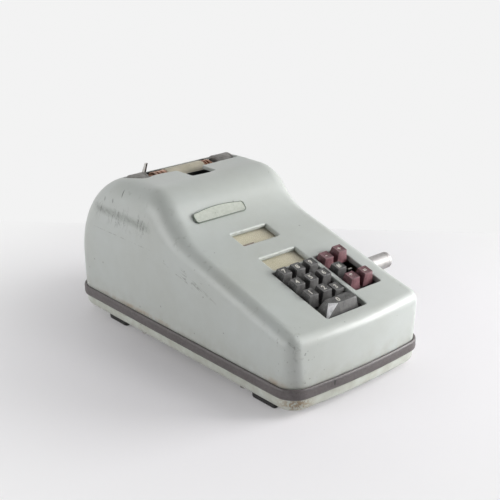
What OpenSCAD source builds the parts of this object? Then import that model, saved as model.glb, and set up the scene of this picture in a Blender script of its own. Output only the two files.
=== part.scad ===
// Ten-key mechanical adding machine with a printing platen.
// Frame: +X to the machine's right, +Y to its rear, +Z up, millimetres.
// The origin is on the table, below the middle of the machine with its drive hub.
// Modules are drawn about the body's middle plane, and placed() moves them all to the origin.

/* [Body] */
// Width of the housing across its side walls
body_w = 180; // [172:1:220]
// Length of the housing from front wall to rear wall
body_l = 372.5; // [360:0.5:450]
// Height of the hood above the table
hood_h = 174; // [172:1:210]
// Height where the line of the deck meets the front wall
deck_front_h = 80.2; // [78:0.1:90]
// Slope of the deck
deck_slope = 16.5; // [14:0.1:17]
// Length from the front wall to the flat top of the hood
hood_run = 235; // [232:1:240]
// Slope of the hood's front face
hood_slope = 52; // [48:1:56]
// Thickness of the housing sheet
wall = 2; // [1.5:0.1:3]

/* [Roundings] */
// How far the front wall bows forward at the middle
front_bow = 5.5; // [3:0.5:9]
// Radius of the two front corners seen from above
front_corner_r = 18; // [12:1:24]
// Radius of the two rear corners seen from above
rear_corner_r = 25; // [15:1:35]
// Radius along the front edge of the deck
front_edge_r = 13; // [8:1:18]
// Radius along the sides of the deck
deck_edge_r = 10; // [7:1:14]
// Radius along the sides of the hood
hood_edge_r = 24; // [16:1:30]
// Radius of the hollow between deck and hood
hollow_r = 75; // [50:1:90]
// Radius over the front of the hood
hood_front_r = 47.6; // [40:0.1:55]
// Largest radius over the rear of the hood
rear_r = 105; // [80:1:110]

/* [Base] */
// Height of the gap under the pan
foot_h = 6; // [4:0.5:10]
// Thickness of the pan's sheet
pan_t = 2; // [1.2:0.1:3]
// Height of the seam between pan and housing
seam_h = 26; // [23:0.5:29]
// Height of the rubber band around the seam
band_h = 11.7; // [8:0.1:14]
// How far the band stands out of the body
band_out = 3; // [2:0.1:5]
// Length of a foot
foot_l = 34; // [20:1:50]
// Width of a foot
foot_w = 10; // [6:1:14]

/* [Keys] */
// Distance between two columns of keys
col_pitch = 18; // [17:0.1:20]
// Distance between two rows of keys
row_pitch = 19.5; // [18:0.1:21]
// Width of a key cap at its foot
cap_w = 15.2; // [13:0.1:16]
// Width of a key cap at its top
cap_top_w = 11.4; // [9:0.1:12.5]
// Height of a key cap
cap_h = 14; // [10:0.5:16]
// How far a key cap stands above the deck
cap_out = 5; // [3:0.5:7]
// Travel of a key
key_travel = 6; // [4:0.5:7]
// Width of a key stem
stem_w = 5; // [4:0.1:6]
// Thickness of a key stem
stem_t = 1.6; // [1:0.1:2.5]
// Middle of the digit keys across the deck
digit_x = -6; // [-10:0.5:0]
// Middle of the function keys across the deck
function_x = 44.7; // [42:0.1:48]
// Place of the rear row of keys up the deck
rear_row_u = 90.3; // [88:0.1:92]
// Width of the zero bar at its foot
bar_w = 46; // [40:1:50]

/* [Windows] */
// Width of the two windows
window_w = 48; // [40:1:60]
// Length of a window up the deck
window_l = 22.2; // [16:0.2:26]
// Middle of the windows across the deck
window_x = -3.4; // [-10:0.1:5]
// Start of the lower window up the deck
window_u1 = 101.6; // [101:0.1:104]
// Start of the upper window up the deck
window_u2 = 148.9; // [146:0.1:152]
// Depth of the rim behind a window
rim_depth = 2.4; // [2.3:0.1:2.5]
// Thickness of that rim
rim_t = 1.5; // [1:0.1:2.5]

/* [Platen] */
// Radius of the platen's rubber
platen_r = 13.5; // [12:0.1:15]
// Left end of the platen's rubber
platen_x1 = -21.5; // [-26:0.5:-18]
// Right end of the platen's rubber
platen_x2 = 29; // [24:0.5:34]
// Radius of the platen's knobs
knob_r = 15.5; // [13:0.1:15.5]
// Depth of the platen's axis below the hood's top
platen_drop = 15.2; // [15:0.1:18]
// Radius of the platen's shaft
platen_shaft_r = 3; // [2.5:0.1:4]

/* [Drive] */
// Radius of the drive hub that stands out of the right side
hub_r = 8.75; // [8:0.05:11]
// How far the hub stands out of the right side
hub_out = 33; // [24:1:45]
// Radius of the socket in the hub's end
socket_r = 5; // [4:0.1:6]
// Depth of the socket in the hub's end
socket_l = 18; // [12:1:22]
// Distance of the hub's axis behind the front wall
hub_run = 83.5; // [80:0.5:86]
// Height of the hub's axis
hub_h = 84; // [83:0.5:85]
// Radius of the drive shaft
drive_shaft_r = 5; // [4:0.1:6]
// Teeth of the drive gear
drive_teeth = 20; // [18:1:20]
// Teeth of the main gear
main_teeth = 40; // [36:1:44]
// Tooth size of both gears
gear_module = 1.5; // [1.4:0.05:1.5]
// Radius of the main shaft
main_shaft_r = 4; // [3:0.1:5]

/* [Fits] */
// Radial clearance of a shaft that turns in a bore
run_fit = 0.05; // [0.02:0.01:0.1]
// Clearance around a sliding stem
slot_fit = 0.4; // [0.3:0.05:0.8]
// Gap between pieces that only lie close
near_gap = 0.3; // [0.2:0.05:0.5]
// Thickness of the side frames and platen brackets
frame_t = 2; // [1.5:0.1:3]
// Thickness of the key plates and other inner sheets
plate_t = 1.2; // [0.8:0.1:2]

/* [Hidden] */
$fn = 48;
half_w = body_w / 2;
front_y = -181.5;
rear_y = front_y + body_l;
hood_y = front_y + hood_run;
band_front_y = front_y - band_out;
hub_end_x = half_w + hub_out;
// middle of the whole machine, hub and band included
mid_x = (hub_end_x - half_w - band_out) / 2;
mid_y = (band_front_y + rear_y + band_out) / 2;
pan_top = foot_h + pan_t;
band_bottom = seam_h - band_h / 2;

// Deck frame: u runs up the slope, n stands out of the deck
key_plate_n = -19;
comb_plate_n = -44;
stem_foot_n = -52;
frame_top_n = -9;
digit_pocket_x = [-33, 20.3];
digit_pocket_u = [16.7, 98.2];
function_pocket_x = [26.5, 62.7];
function_pocket_u = [38, 101];
pocket_r = 2.5;
bar_u = [20.5, 38];
bar_top_u = [26, 36];
plate_u = [12, 100];

// Side frames and what stands between them
frame_x = half_w - 18;
frame_in = frame_x - frame_t;
frame_front = front_y + 23.5;
frame_rear = rear_y - 26;
rod_r = 4;
screw_r = 2;
head_r = 4.5;
head_h = 2.5;
rod_spots = [
  [frame_front + 9, 22],
  [hood_y - 33, 130],
  [frame_rear - 14, 22],
  [frame_rear - 14, 100]
];
bracket_spots = [frame_front + 60, frame_rear - 95];

// Printing side
platen_y = hood_y + 49.5;
platen_z = hood_h - platen_drop;
release_y = platen_y + 22;
release_z = platen_z - 20.8;
shelf_z = platen_z - 40.8;
bracket_x1 = -43.4;
bracket_x2 = 43.8;
opening_x = [-68, 72];
opening_y = [hood_y + 31.5, hood_y + 64.5];
notch_x = [-18.5, 15.5];
notch_y = hood_y + 3.5;
ribbon_deck_z = platen_z - 16;
guide_x = [-30, 38];
guide_y = hood_y + 33.2;
guide_t = 0.8;
guide_leg = 4;
spool_r = 17;
spool_y = hood_y + 9;
spool_x = [-45, 50];
type_y = hood_y - 8.5;
type_z = platen_z - 63.8;
register_y = hood_y - 53.5;
register_z = 80;
wheel_r = 13;

// Drive side
hub_y = front_y + hub_run;
gear_dist = gear_module * (drive_teeth + main_teeth) / 2;
gear_dir = -41;
main_y = hub_y + gear_dist * cos(gear_dir);
main_z = hub_h + gear_dist * sin(gear_dir);
gear_x = frame_x + head_h + 2.5;
gear_t = 5;
hub_x = gear_x + gear_t + 1;

// ---- helpers ----

function arc(c, r, a0, a1, n) =
  [for (i = [0:n]) let (a = a0 + (a1 - a0) * i / n) [c[0] + r * cos(a), c[1] + r * sin(a)]];

module placed() {
  translate([-mid_x, -mid_y, 0]) children();
}

// a flat shape drawn in (y, z), made solid from x0 to x1
module along_x(x0, x1) {
  translate([x0, 0, 0]) rotate([90, 0, 90]) linear_extrude(x1 - x0) children();
}

// a round bar along X at (y, z)
module bar_x(x0, x1, y, z, r) {
  translate([x0, y, z]) rotate([0, 90, 0]) cylinder(h = x1 - x0, r = r);
}

// the deck's own frame: x, u up the slope, n out of the deck
module on_deck() {
  translate([0, front_y, deck_front_h]) rotate([deck_slope, 0, 0]) children();
}

// a block given by its two corners
module block(a, b) {
  translate(a) cube(b - a);
}

// a rectangle with round corners, given by its two corners
module round_rect(a, b, r) {
  polygon(concat(
    arc([b[0] - r, a[1] + r], r, -90, 0, 4), arc([b[0] - r, b[1] - r], r, 0, 90, 4),
    arc([a[0] + r, b[1] - r], r, 90, 180, 4), arc([a[0] + r, a[1] + r], r, 180, 270, 4)));
}

// a toothed wheel drawn about its centre, with a tooth on the +x line
module gear_shape(teeth) {
  step = 360 / teeth;
  root = gear_module * (teeth / 2 - 1.25);
  tip = gear_module * (teeth / 2 + 0.9);
  polygon([for (i = [0:teeth - 1]) for (p = [[root, -0.29], [tip, -0.13], [tip, 0.13], [root, 0.29]])
    [p[0] * cos((i + p[1]) * step), p[0] * sin((i + p[1]) * step)]]);
}

// ---- outlines, each drawn i inside the outer skin ----

bow_r = (half_w * half_w + front_bow * front_bow) / (2 * front_bow);
corner_x = half_w - front_corner_r;
corner_y = front_y + bow_r - sqrt(pow(bow_r - front_corner_r, 2) - pow(corner_x, 2));
corner_a = atan2(corner_y - front_y - bow_r, corner_x);

// the body seen from above
function plan_points(i) = concat(
  arc([0, front_y + bow_r], bow_r - i, -180 - corner_a, corner_a, 10),
  arc([corner_x, corner_y], front_corner_r - i, corner_a, 0, 5),
  arc([half_w - rear_corner_r, rear_y - rear_corner_r], rear_corner_r - i, 0, 90, 6),
  arc([rear_corner_r - half_w, rear_y - rear_corner_r], rear_corner_r - i, 90, 180, 6),
  arc([-corner_x, corner_y], front_corner_r - i, 180, 180 - corner_a, 5));

deck_dir = [cos(deck_slope), sin(deck_slope)];
hood_dir = [cos(hood_slope), sin(hood_slope)];
// centre of the rounding over the hood's front, and its lower end
hood_c = [hood_y, hood_h - hood_front_r];
hood_p = hood_c + hood_front_r * [-sin(hood_slope), cos(hood_slope)];
// corner where the deck line meets the line of the hood's front
gap_p = hood_p - [front_y, deck_front_h];
corner_u = (gap_p[0] * hood_dir[1] - gap_p[1] * hood_dir[0])
  / (deck_dir[0] * hood_dir[1] - deck_dir[1] * hood_dir[0]);
hollow_run = hollow_r * tan((hood_slope - deck_slope) / 2);
hollow_u = corner_u - hollow_run;
hollow_c = [front_y, deck_front_h] + hollow_u * deck_dir + hollow_r * [-deck_dir[1], deck_dir[0]];
edge_c = [front_y + front_edge_r,
  deck_front_h + front_edge_r * tan(deck_slope) - front_edge_r / cos(deck_slope)];
back_r = min(rear_r, rear_y - hood_y - 20, hood_h - seam_h - 20);

// the body seen from its right side
function profile_points(i, low) = concat(
  [[front_y + i, low]],
  arc(edge_c, front_edge_r - i, 180, 90 + deck_slope, 6),
  arc(hollow_c, hollow_r + i, deck_slope - 90, hood_slope - 90, 7),
  arc(hood_c, hood_front_r - i, 90 + hood_slope, 90, 7),
  arc([rear_y - back_r, hood_h - back_r], back_r - i, 90, 0, 14),
  [[rear_y - i, low]]);

// a cross-section with two round top corners
function section_points(top, low, r, i) = concat(
  [[i - half_w, low], [half_w - i, low]],
  arc([half_w - r, top - r], r - i, 0, 90, 6),
  arc([r - half_w, top - r], r - i, 90, 180, 6));

// the whole body form, i inside the skin and open below z = low
module body_form(i, low) {
  intersection() {
    translate([0, 0, low]) linear_extrude(hood_h) polygon(plan_points(i));
    along_x(-half_w - 1, half_w + 1) polygon(profile_points(i, low));
    union() {
      on_deck() translate([0, body_l * 1.1, 0]) rotate([90, 0, 0])
        linear_extrude(body_l * 1.2) polygon(section_points(0, -250, deck_edge_r, i));
      translate([0, rear_y + 1, 0]) rotate([90, 0, 0])
        linear_extrude(rear_y + 1 - front_y - hollow_u * cos(deck_slope))
          polygon(section_points(hood_h, 0, hood_edge_r, i));
    }
  }
}

// ---- shell and base ----

// a window's outline up the deck from u, i smaller all round
module window_shape(u, i) {
  round_rect([window_x - window_w / 2 + i, u + i], [window_x + window_w / 2 - i, u + window_l - i], pocket_r);
}

// the blocks behind the windows whose middles are cut away into rims
module window_rims() {
  on_deck() for (u = [window_u1, window_u2])
    block([window_x - window_w / 2 - rim_t, u - rim_t, -wall - rim_depth],
      [window_x + window_w / 2 + rim_t, u + window_l + rim_t, -wall / 2]);
}

module housing() placed() color([0.71, 0.745, 0.715]) difference() {
  union() {
    difference() {
      body_form(0, seam_h + 0.1);
      body_form(wall, seam_h - 1);
    }
    window_rims();
  }
  on_deck() {
    translate([0, 0, -8]) linear_extrude(16)
      round_rect([digit_pocket_x[0], digit_pocket_u[0]], [digit_pocket_x[1], digit_pocket_u[1]], pocket_r);
    translate([0, 0, -8]) linear_extrude(16)
      round_rect([function_pocket_x[0], function_pocket_u[0]],
        [function_pocket_x[1], function_pocket_u[1]], pocket_r);
    for (u = [window_u1, window_u2])
      translate([0, 0, -8]) linear_extrude(16) window_shape(u, 0);
  }
  block([opening_x[0], opening_y[0], hood_h - 12], [opening_x[1], opening_y[1], hood_h + 5]);
  block([notch_x[0], notch_y, hood_h - 12], [notch_x[1], opening_y[0] + 1, hood_h + 5]);
  bar_x(half_w - 8, half_w + 5, hub_y, hub_h, hub_r + 0.8);
}

module base_pan() placed() color([0.68, 0.71, 0.68]) difference() {
  translate([0, 0, foot_h]) linear_extrude(seam_h - foot_h - 0.1) polygon(plan_points(0));
  translate([0, 0, pan_top]) linear_extrude(seam_h) polygon(plan_points(wall));
  for (s = [-1, 1]) for (y = bracket_spots)
    translate([s * (frame_x + 8), y, 0]) cylinder(h = seam_h, r = screw_r + 0.2);
}

module trim_band() placed() color([0.28, 0.26, 0.26]) difference() {
  translate([0, 0, band_bottom]) linear_extrude(band_h) polygon(plan_points(-band_out));
  translate([0, 0, band_bottom - 1]) linear_extrude(band_h + 2) polygon(plan_points(-0.1));
}

module feet() placed() color([0.08, 0.08, 0.08])
  for (s = [-1, 1]) for (y = [front_y + 34, rear_y - 88])
    translate([s * (half_w - 5 - foot_w / 2), y, 0])
      linear_extrude(foot_h) round_rect([-foot_w / 2, 0], [foot_w / 2, foot_l], 2);

// ---- side frames and what ties them ----

// height of a point on the deck's normal line n, above y
function deck_z(y, n) = deck_front_h + (y - front_y) * tan(deck_slope) + n / cos(deck_slope);

module frame_shape() {
  polygon([
    [frame_front, pan_top], [frame_front, deck_z(frame_front, frame_top_n)],
    [hood_y - 64, deck_z(hood_y - 64, frame_top_n)], [hood_y - 24, hood_h - 24],
    [platen_y - 15, hood_h - 24], [platen_y - 12.5, platen_z - knob_r - 3.5],
    [platen_y + 22, platen_z - knob_r - 3.5], [frame_rear - 4, hood_h - 62], [frame_rear, pan_top]]);
}

module frame_plate(x0) {
  difference() {
    along_x(x0, x0 + frame_t) frame_shape();
    for (p = rod_spots) bar_x(x0 - 1, x0 + frame_t + 1, p[0], p[1], screw_r + 0.1);
    bar_x(x0 - 1, x0 + frame_t + 1, main_y, main_z, main_shaft_r + run_fit);
    for (y = bracket_spots) bar_x(x0 - 1, x0 + frame_t + 1, y, pan_top + 8, screw_r + 0.1);
  }
}

module left_frame() placed() color([0.62, 0.62, 0.6]) frame_plate(-frame_x);

module right_frame() placed() color([0.62, 0.62, 0.6]) difference() {
  frame_plate(frame_in);
  bar_x(frame_in - 1, frame_x + 1, hub_y, hub_h, drive_shaft_r + 3);
}

module tie_rods() placed() color([0.7, 0.7, 0.7])
  for (p = rod_spots) difference() {
    bar_x(-frame_in, frame_in, p[0], p[1], rod_r);
    for (s = [-1, 1]) bar_x(s * (frame_in - 5) - 6, s * (frame_in - 5) + 6, p[0], p[1], screw_r + 0.05);
  }

module frame_screws() placed() color([0.55, 0.55, 0.55])
  for (s = [0, 1]) mirror([s, 0, 0]) for (p = rod_spots) {
    bar_x(frame_x, frame_x + head_h, p[0], p[1], head_r);
    bar_x(frame_x - frame_t - 8, frame_x, p[0], p[1], screw_r);
  }

module frame_brackets() placed() color([0.6, 0.6, 0.6])
  for (s = [0, 1]) mirror([s, 0, 0]) for (y = bracket_spots) difference() {
    union() {
      block([frame_x, y - 9, pan_top], [frame_x + 14, y + 9, pan_top + frame_t]);
      block([frame_x, y - 9, pan_top], [frame_x + frame_t, y + 9, pan_top + 14]);
    }
    bar_x(frame_x - 1, frame_x + frame_t + 1, y, pan_top + 8, screw_r + 0.1);
    translate([frame_x + 8, y, foot_h]) cylinder(h = 12, r = screw_r + 0.1);
  }

// four screws up through the pan and four across into the frames
module pan_screws() placed() color([0.55, 0.55, 0.55])
  for (s = [0, 1]) mirror([s, 0, 0]) for (y = bracket_spots) {
    translate([frame_x + 8, y, foot_h - head_h]) cylinder(h = head_h, r = head_r);
    translate([frame_x + 8, y, foot_h]) cylinder(h = pan_t + frame_t + 3, r = screw_r);
    bar_x(frame_x + frame_t, frame_x + frame_t + 2, y, pan_top + 8, screw_r + 1.8);
    bar_x(frame_in - 2, frame_x + frame_t, y, pan_top + 8, screw_r);
  }

// ---- keys ----

digit_spots = [for (k = [0:8]) [digit_x + (k % 3 - 1) * col_pitch, rear_row_u - (2 - floor(k / 3)) * row_pitch]];
function_spots = [for (r = [0:2]) for (c = [0, 1])
  [function_x + (c - 0.5) * (col_pitch + 0.4), rear_row_u + 2 - r * row_pitch]];
bar_spot = [digit_x, 30];
stem_spots = concat(digit_spots, function_spots, [bar_spot]);

// a sheet across the frames with one slot for each stem
module stem_plate(n) {
  on_deck() difference() {
    block([-frame_in, plate_u[0], n], [frame_in, plate_u[1], n + plate_t]);
    for (p = stem_spots)
      block([p[0] - stem_w / 2 - slot_fit, p[1] - stem_t / 2 - slot_fit, n - 1],
        [p[0] + stem_w / 2 + slot_fit, p[1] + stem_t / 2 + slot_fit, n + plate_t + 1]);
  }
}

module key_top_plate() placed() color([0.15, 0.15, 0.15]) stem_plate(key_plate_n);
module key_comb_plate() placed() color([0.5, 0.5, 0.5]) stem_plate(comb_plate_n);

// a four-sided cap between two rectangles, low (n0) and high (n1)
module cap_solid(low, high, n0, n1) {
  polyhedron(
    points = [
      [low[0], low[1], n0], [low[2], low[1], n0], [low[2], low[3], n0], [low[0], low[3], n0],
      [high[0], high[1], n1], [high[2], high[1], n1], [high[2], high[3], n1], [high[0], high[3], n1]],
    faces = [[0, 1, 2, 3], [4, 7, 6, 5], [0, 4, 5, 1], [1, 5, 6, 2], [2, 6, 7, 3], [3, 7, 4, 0]]);
}

// a flat steel stem at p, from n0 up to n1
module stem(p, n0, n1) {
  block([p[0] - stem_w / 2, p[1] - stem_t / 2, n0], [p[0] + stem_w / 2, p[1] + stem_t / 2, n1]);
}

// a key at p whose cap stands lift above (or below) the usual height
module key_at(p, lift, tint) {
  foot_n = cap_out - cap_h + lift;
  top_n = cap_out + lift;
  on_deck() {
    color(tint) cap_solid(
      [p[0] - cap_w / 2, p[1] - cap_w / 2, p[0] + cap_w / 2, p[1] + cap_w / 2],
      [p[0] - cap_top_w / 2, p[1] - cap_top_w / 2 + 0.6, p[0] + cap_top_w / 2, p[1] + cap_top_w / 2 + 0.6],
      foot_n, top_n);
    color([0.7, 0.7, 0.7]) stem(p, stem_foot_n + lift, foot_n - run_fit);
  }
}

charcoal = [0.27, 0.27, 0.28];
maroon = [0.4, 0.22, 0.25];
stuck_drop = -4.5;

module key_1() placed() key_at(digit_spots[0], 0, charcoal);
module key_2() placed() key_at(digit_spots[1], 0, charcoal);
module key_3() placed() key_at(digit_spots[2], stuck_drop, charcoal);
module key_4() placed() key_at(digit_spots[3], 0, charcoal);
module key_5() placed() key_at(digit_spots[4], 0, charcoal);
module key_6() placed() key_at(digit_spots[5], 0, charcoal);
module key_7() placed() key_at(digit_spots[6], 0, charcoal);
module key_8() placed() key_at(digit_spots[7], 0, charcoal);
module key_9() placed() key_at(digit_spots[8], 0, charcoal);

module key_0() placed() on_deck() {
  color(charcoal) cap_solid([digit_x - bar_w / 2, bar_u[0], digit_x + bar_w / 2, bar_u[1]],
    [digit_x - bar_w / 2 + 8, bar_top_u[0], digit_x + bar_w / 2 - 3, bar_top_u[1]],
    cap_out - cap_h, cap_out);
  color([0.7, 0.7, 0.7]) stem(bar_spot, stem_foot_n, cap_out - cap_h - run_fit);
}

module function_key_1() placed() key_at(function_spots[0], 0, maroon);
module function_key_2() placed() key_at(function_spots[1], 3, maroon);
module function_key_3() placed() key_at(function_spots[2], -0.5, charcoal);
module function_key_4() placed() key_at(function_spots[4], 0, maroon);
module function_key_5() placed() key_at(function_spots[5], 1, maroon);

// the sixth function key has lost its cap
module bare_stem() placed() color([0.75, 0.75, 0.75]) on_deck()
  stem(function_spots[3], stem_foot_n, -cap_out);

// ---- windows, badge and carriage ----

pane_t = 0.8;
pane_n = -4.3;
plate_top_n = -6;

module window_panes() placed() color([0.85, 0.88, 0.85, 0.35]) on_deck()
  for (u = [window_u1, window_u2])
    translate([0, 0, pane_n]) linear_extrude(pane_t) window_shape(u, run_fit / 2);

module indicator_plates() placed() color([0.85, 0.81, 0.68]) on_deck()
  for (u = [window_u1, window_u2])
    block([-frame_x, u, frame_top_n], [frame_x, u + window_l + 3, plate_top_n]);

badge_l = 67.5;
badge_w = 12;
badge_arch = 2.6;
badge_r = 4;
badge_t = 2;
badge_x = -22.2;
badge_slope = 45.6;
badge_low = (badge_w + badge_arch) / 2;
badge_end = badge_l / 2 - badge_r;
badge_seat = hollow_r - near_gap - badge_low * badge_low / (2 * hollow_r);

module badge_plate() placed() color([0.66, 0.68, 0.62])
  translate([badge_x, hollow_c[0] + badge_seat * sin(badge_slope),
      hollow_c[1] - badge_seat * cos(badge_slope)])
    rotate([badge_slope, 0, 0]) linear_extrude(badge_t)
      polygon(concat(
        arc([badge_end, badge_r - badge_low], badge_r, -90, 0, 6),
        arc([badge_end, badge_w - badge_low - badge_r], badge_r, 0, 80, 6),
        [for (t = [-1:0.25:1]) [-t * (badge_end - 2), badge_w - badge_low + badge_arch * (1 - t * t)]],
        arc([-badge_end, badge_w - badge_low - badge_r], badge_r, 100, 180, 6),
        arc([-badge_end, badge_r - badge_low], badge_r, 180, 270, 6)));

rail_r = 2.5;
rail_u = [131, 143];
rail_n = -24;
carriage_x = [-50, 8];
flag_x = [-27, -9];

module carriage_rails() placed() color([0.72, 0.72, 0.72]) on_deck()
  for (u = rail_u) bar_x(-frame_in, frame_in, u, rail_n, rail_r);

module pin_carriage() placed() color([0.55, 0.52, 0.45]) on_deck() difference() {
  block([carriage_x[0], rail_u[0] - 5, rail_n - 6], [carriage_x[1], rail_u[1] + 5, rail_n + 6]);
  for (u = rail_u) bar_x(carriage_x[0] - 1, carriage_x[1] + 1, u, rail_n, rail_r + run_fit);
}

// a bent strip from the carriage up and over the upper plate
module indicator_flag() placed() color([0.5, 0.45, 0.4]) on_deck() {
  translate([flag_x[0], 0, 0]) rotate([90, 0, 90]) linear_extrude(flag_x[1] - flag_x[0])
    polygon([[rail_u[0] + 4, rail_n + 6], [rail_u[0] + 5, rail_n + 6], [rail_u[0] + 5, plate_top_n + 0.4],
      [window_u2 + 6, plate_top_n + 0.4], [window_u2 + 6, pane_n - 0.5], [rail_u[0] + 4, pane_n - 0.5]]);
}

// ---- drive ----

module hub_bush() placed() color([0.72, 0.6, 0.35]) difference() {
  union() {
    bar_x(frame_in, frame_x, hub_y, hub_h, drive_shaft_r + 2.9);
    bar_x(frame_x, frame_x + 2, hub_y, hub_h, drive_shaft_r + 6);
  }
  bar_x(frame_in - 3, frame_x + 3, hub_y, hub_h, drive_shaft_r + run_fit);
}

module drive_shaft() placed() color([0.7, 0.7, 0.7])
  bar_x(frame_in + near_gap, hub_end_x - socket_l - 8, hub_y, hub_h, drive_shaft_r);

module drive_hub() placed() color([0.72, 0.72, 0.72]) difference() {
  bar_x(hub_x, hub_end_x, hub_y, hub_h, hub_r);
  bar_x(hub_x - 1, hub_end_x - socket_l - 7.9, hub_y, hub_h, drive_shaft_r + 0.02);
  bar_x(hub_end_x - socket_l, hub_end_x + 1, hub_y, hub_h, socket_r);
}

module drive_gear() placed() color([0.6, 0.58, 0.5]) difference() {
  translate([0, hub_y, hub_h]) rotate([gear_dir, 0, 0]) along_x(gear_x, gear_x + gear_t)
    gear_shape(drive_teeth);
  bar_x(gear_x - 1, gear_x + gear_t + 1, hub_y, hub_h, drive_shaft_r + 0.02);
}

module main_gear() placed() color([0.6, 0.58, 0.5]) difference() {
  translate([0, main_y, main_z]) rotate([gear_dir + 180 + 180 / main_teeth, 0, 0])
    along_x(gear_x, gear_x + gear_t) gear_shape(main_teeth);
  bar_x(gear_x - 1, gear_x + gear_t + 1, main_y, main_z, main_shaft_r + 0.02);
}

module main_shaft() placed() color([0.7, 0.7, 0.7])
  bar_x(-frame_x - 4, gear_x + gear_t + 1, main_y, main_z, main_shaft_r);

// three eccentric discs between the rows of stems
module main_cams() placed() color([0.6, 0.6, 0.62])
  for (x = [-60, 22, 64]) difference() {
    bar_x(x, x + 4, main_y + 3, main_z, 9);
    bar_x(x - 1, x + 5, main_y, main_z, main_shaft_r + 0.02);
  }

// a wound spring around the main shaft, beside its left cam
spring_x = -42;
spring_turns = 5;
spring_wire = 0.7;
spring_sides = 8;
spring_steps = 14;
spring_pitch = 2.1;

module return_spring() placed() color([0.5, 0.5, 0.52]) {
  rings = spring_turns * spring_steps;
  coil_r = main_shaft_r + spring_wire + near_gap;
  spring_points = [for (k = [0:rings]) for (j = [0:spring_sides - 1])
    let (t = 360 * k / spring_steps, a = 360 * j / spring_sides,
      r = coil_r + spring_wire * cos(a),
      x = spring_x - spring_pitch * k / spring_steps - spring_wire * sin(a))
    [x, main_y + r * cos(t), main_z + r * sin(t)]];
  spring_faces = concat(
    [for (k = [0:rings - 1]) for (j = [0:spring_sides - 1])
      let (a = k * spring_sides + j, b = k * spring_sides + (j + 1) % spring_sides)
      [a, a + spring_sides, b + spring_sides, b]],
    [[for (j = [0:spring_sides - 1]) j]],
    [[for (j = [spring_sides - 1:-1:0]) rings * spring_sides + j]]);
  polyhedron(points = spring_points, faces = spring_faces);
}

// ---- register and type ----

module register_axle() placed() color([0.7, 0.7, 0.7])
  bar_x(-frame_in, frame_in, register_y, register_z, 3);

module register_wheels() placed() color([0.86, 0.84, 0.78])
  for (k = [0:9]) difference() {
    bar_x(-40 + 7 * k, -35 + 7 * k, register_y, register_z, wheel_r);
    bar_x(-41 + 7 * k, -34 + 7 * k, register_y, register_z, 3 + run_fit);
  }

module type_shaft() placed() color([0.7, 0.7, 0.7])
  bar_x(-frame_in, frame_in, type_y, type_z, 4);

// seven thin arms with a curved type head each
module type_sectors() placed() color([0.62, 0.6, 0.56])
  for (k = [0:6]) difference() {
    along_x(-18.5 + 7 * k, -16.5 + 7 * k) translate([type_y, type_z]) rotate(22)
      polygon(concat(arc([0, 0], 8, 40, 320, 10), [[34, -3], [38, -9]],
        arc([0, 0], 42, -12, 12, 4), [[38, 9], [34, 3]]));
    bar_x(-19.5 + 7 * k, -15.5 + 7 * k, type_y, type_z, 4 + run_fit);
  }

// ---- ribbon ----

module ribbon_deck() placed() color([0.35, 0.35, 0.36]) {
  difference() {
    block([-frame_in, hood_y - 14, ribbon_deck_z - plate_t], [frame_in, hood_y + 34.5, ribbon_deck_z]);
    block([-22, hood_y + 6, ribbon_deck_z - 3], [30, hood_y + 31, ribbon_deck_z + 1]);
  }
  for (x = spool_x) translate([x, spool_y, ribbon_deck_z]) cylinder(h = 16, r = 3);
  for (x = [-28, 34]) translate([x, hood_y + 30.5, ribbon_deck_z]) cylinder(h = 14, r = 1.5);
  block([guide_x[0], guide_y, platen_z - 1], [guide_x[1], guide_y + guide_t, platen_z + 8]);
  for (x = [guide_x[0], guide_x[1] - guide_leg])
    block([x, guide_y, ribbon_deck_z], [x + guide_leg, guide_y + guide_t, platen_z]);
}

module spool(x) {
  translate([x, spool_y, ribbon_deck_z + near_gap]) rotate_extrude()
    polygon([[3 + run_fit, 0], [spool_r, 0], [spool_r, 1], [11, 1], [11, 13], [spool_r, 13],
      [spool_r, 14], [3 + run_fit, 14]]);
}

module left_spool() placed() color([0.3, 0.3, 0.3]) spool(spool_x[0]);
module right_spool() placed() color([0.3, 0.3, 0.3]) spool(spool_x[1]);

// the band between the two posts, in front of the platen
module ribbon() placed() color([0.12, 0.1, 0.12])
  block([-29.5, hood_y + 32.2, ribbon_deck_z + 2], [35.5, hood_y + 32.6, ribbon_deck_z + 13]);

// ---- platen and paper path ----

module paper_shelf() placed() color([0.5, 0.5, 0.5])
  block([-frame_in, platen_y + 1, shelf_z - plate_t], [frame_in, platen_y + 37, shelf_z]);

module platen_brackets() placed() color([0.66, 0.66, 0.64])
  for (x = [bracket_x1, bracket_x2]) difference() {
    along_x(x, x + frame_t) polygon(concat(
      [[platen_y + 2, shelf_z], [platen_y + 30, shelf_z], [platen_y + 30, release_z + 3]],
      arc([platen_y, platen_z], 9, 40, 210, 8)));
    bar_x(x - 1, x + frame_t + 1, platen_y, platen_z, platen_shaft_r + run_fit);
    bar_x(x - 1, x + frame_t + 1, release_y, release_z, 3 + run_fit);
  }

module platen_shaft() placed() color([0.7, 0.7, 0.7])
  bar_x(opening_x[0] + 3, opening_x[1] - 3, platen_y, platen_z, platen_shaft_r);

module platen_roller() placed() color([0.86, 0.84, 0.78]) difference() {
  bar_x(platen_x1, platen_x2, platen_y, platen_z, platen_r);
  bar_x(platen_x1 - 1, platen_x2 + 1, platen_y, platen_z, platen_shaft_r + 0.02);
}

collar_r = 13;
collar_gap = 1;

// one collar on each side of the rubber
module platen_collars() placed() color([0.62, 0.45, 0.36]) {
  difference() {
    bar_x(bracket_x1 + frame_t + collar_gap, platen_x1, platen_y, platen_z, collar_r);
    bar_x(bracket_x1, platen_x1 + 1, platen_y, platen_z, platen_shaft_r + 0.02);
  }
  difference() {
    bar_x(platen_x2, bracket_x2 - collar_gap, platen_y, platen_z, collar_r);
    bar_x(platen_x2 - 1, bracket_x2, platen_y, platen_z, platen_shaft_r + 0.02);
  }
}

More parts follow.
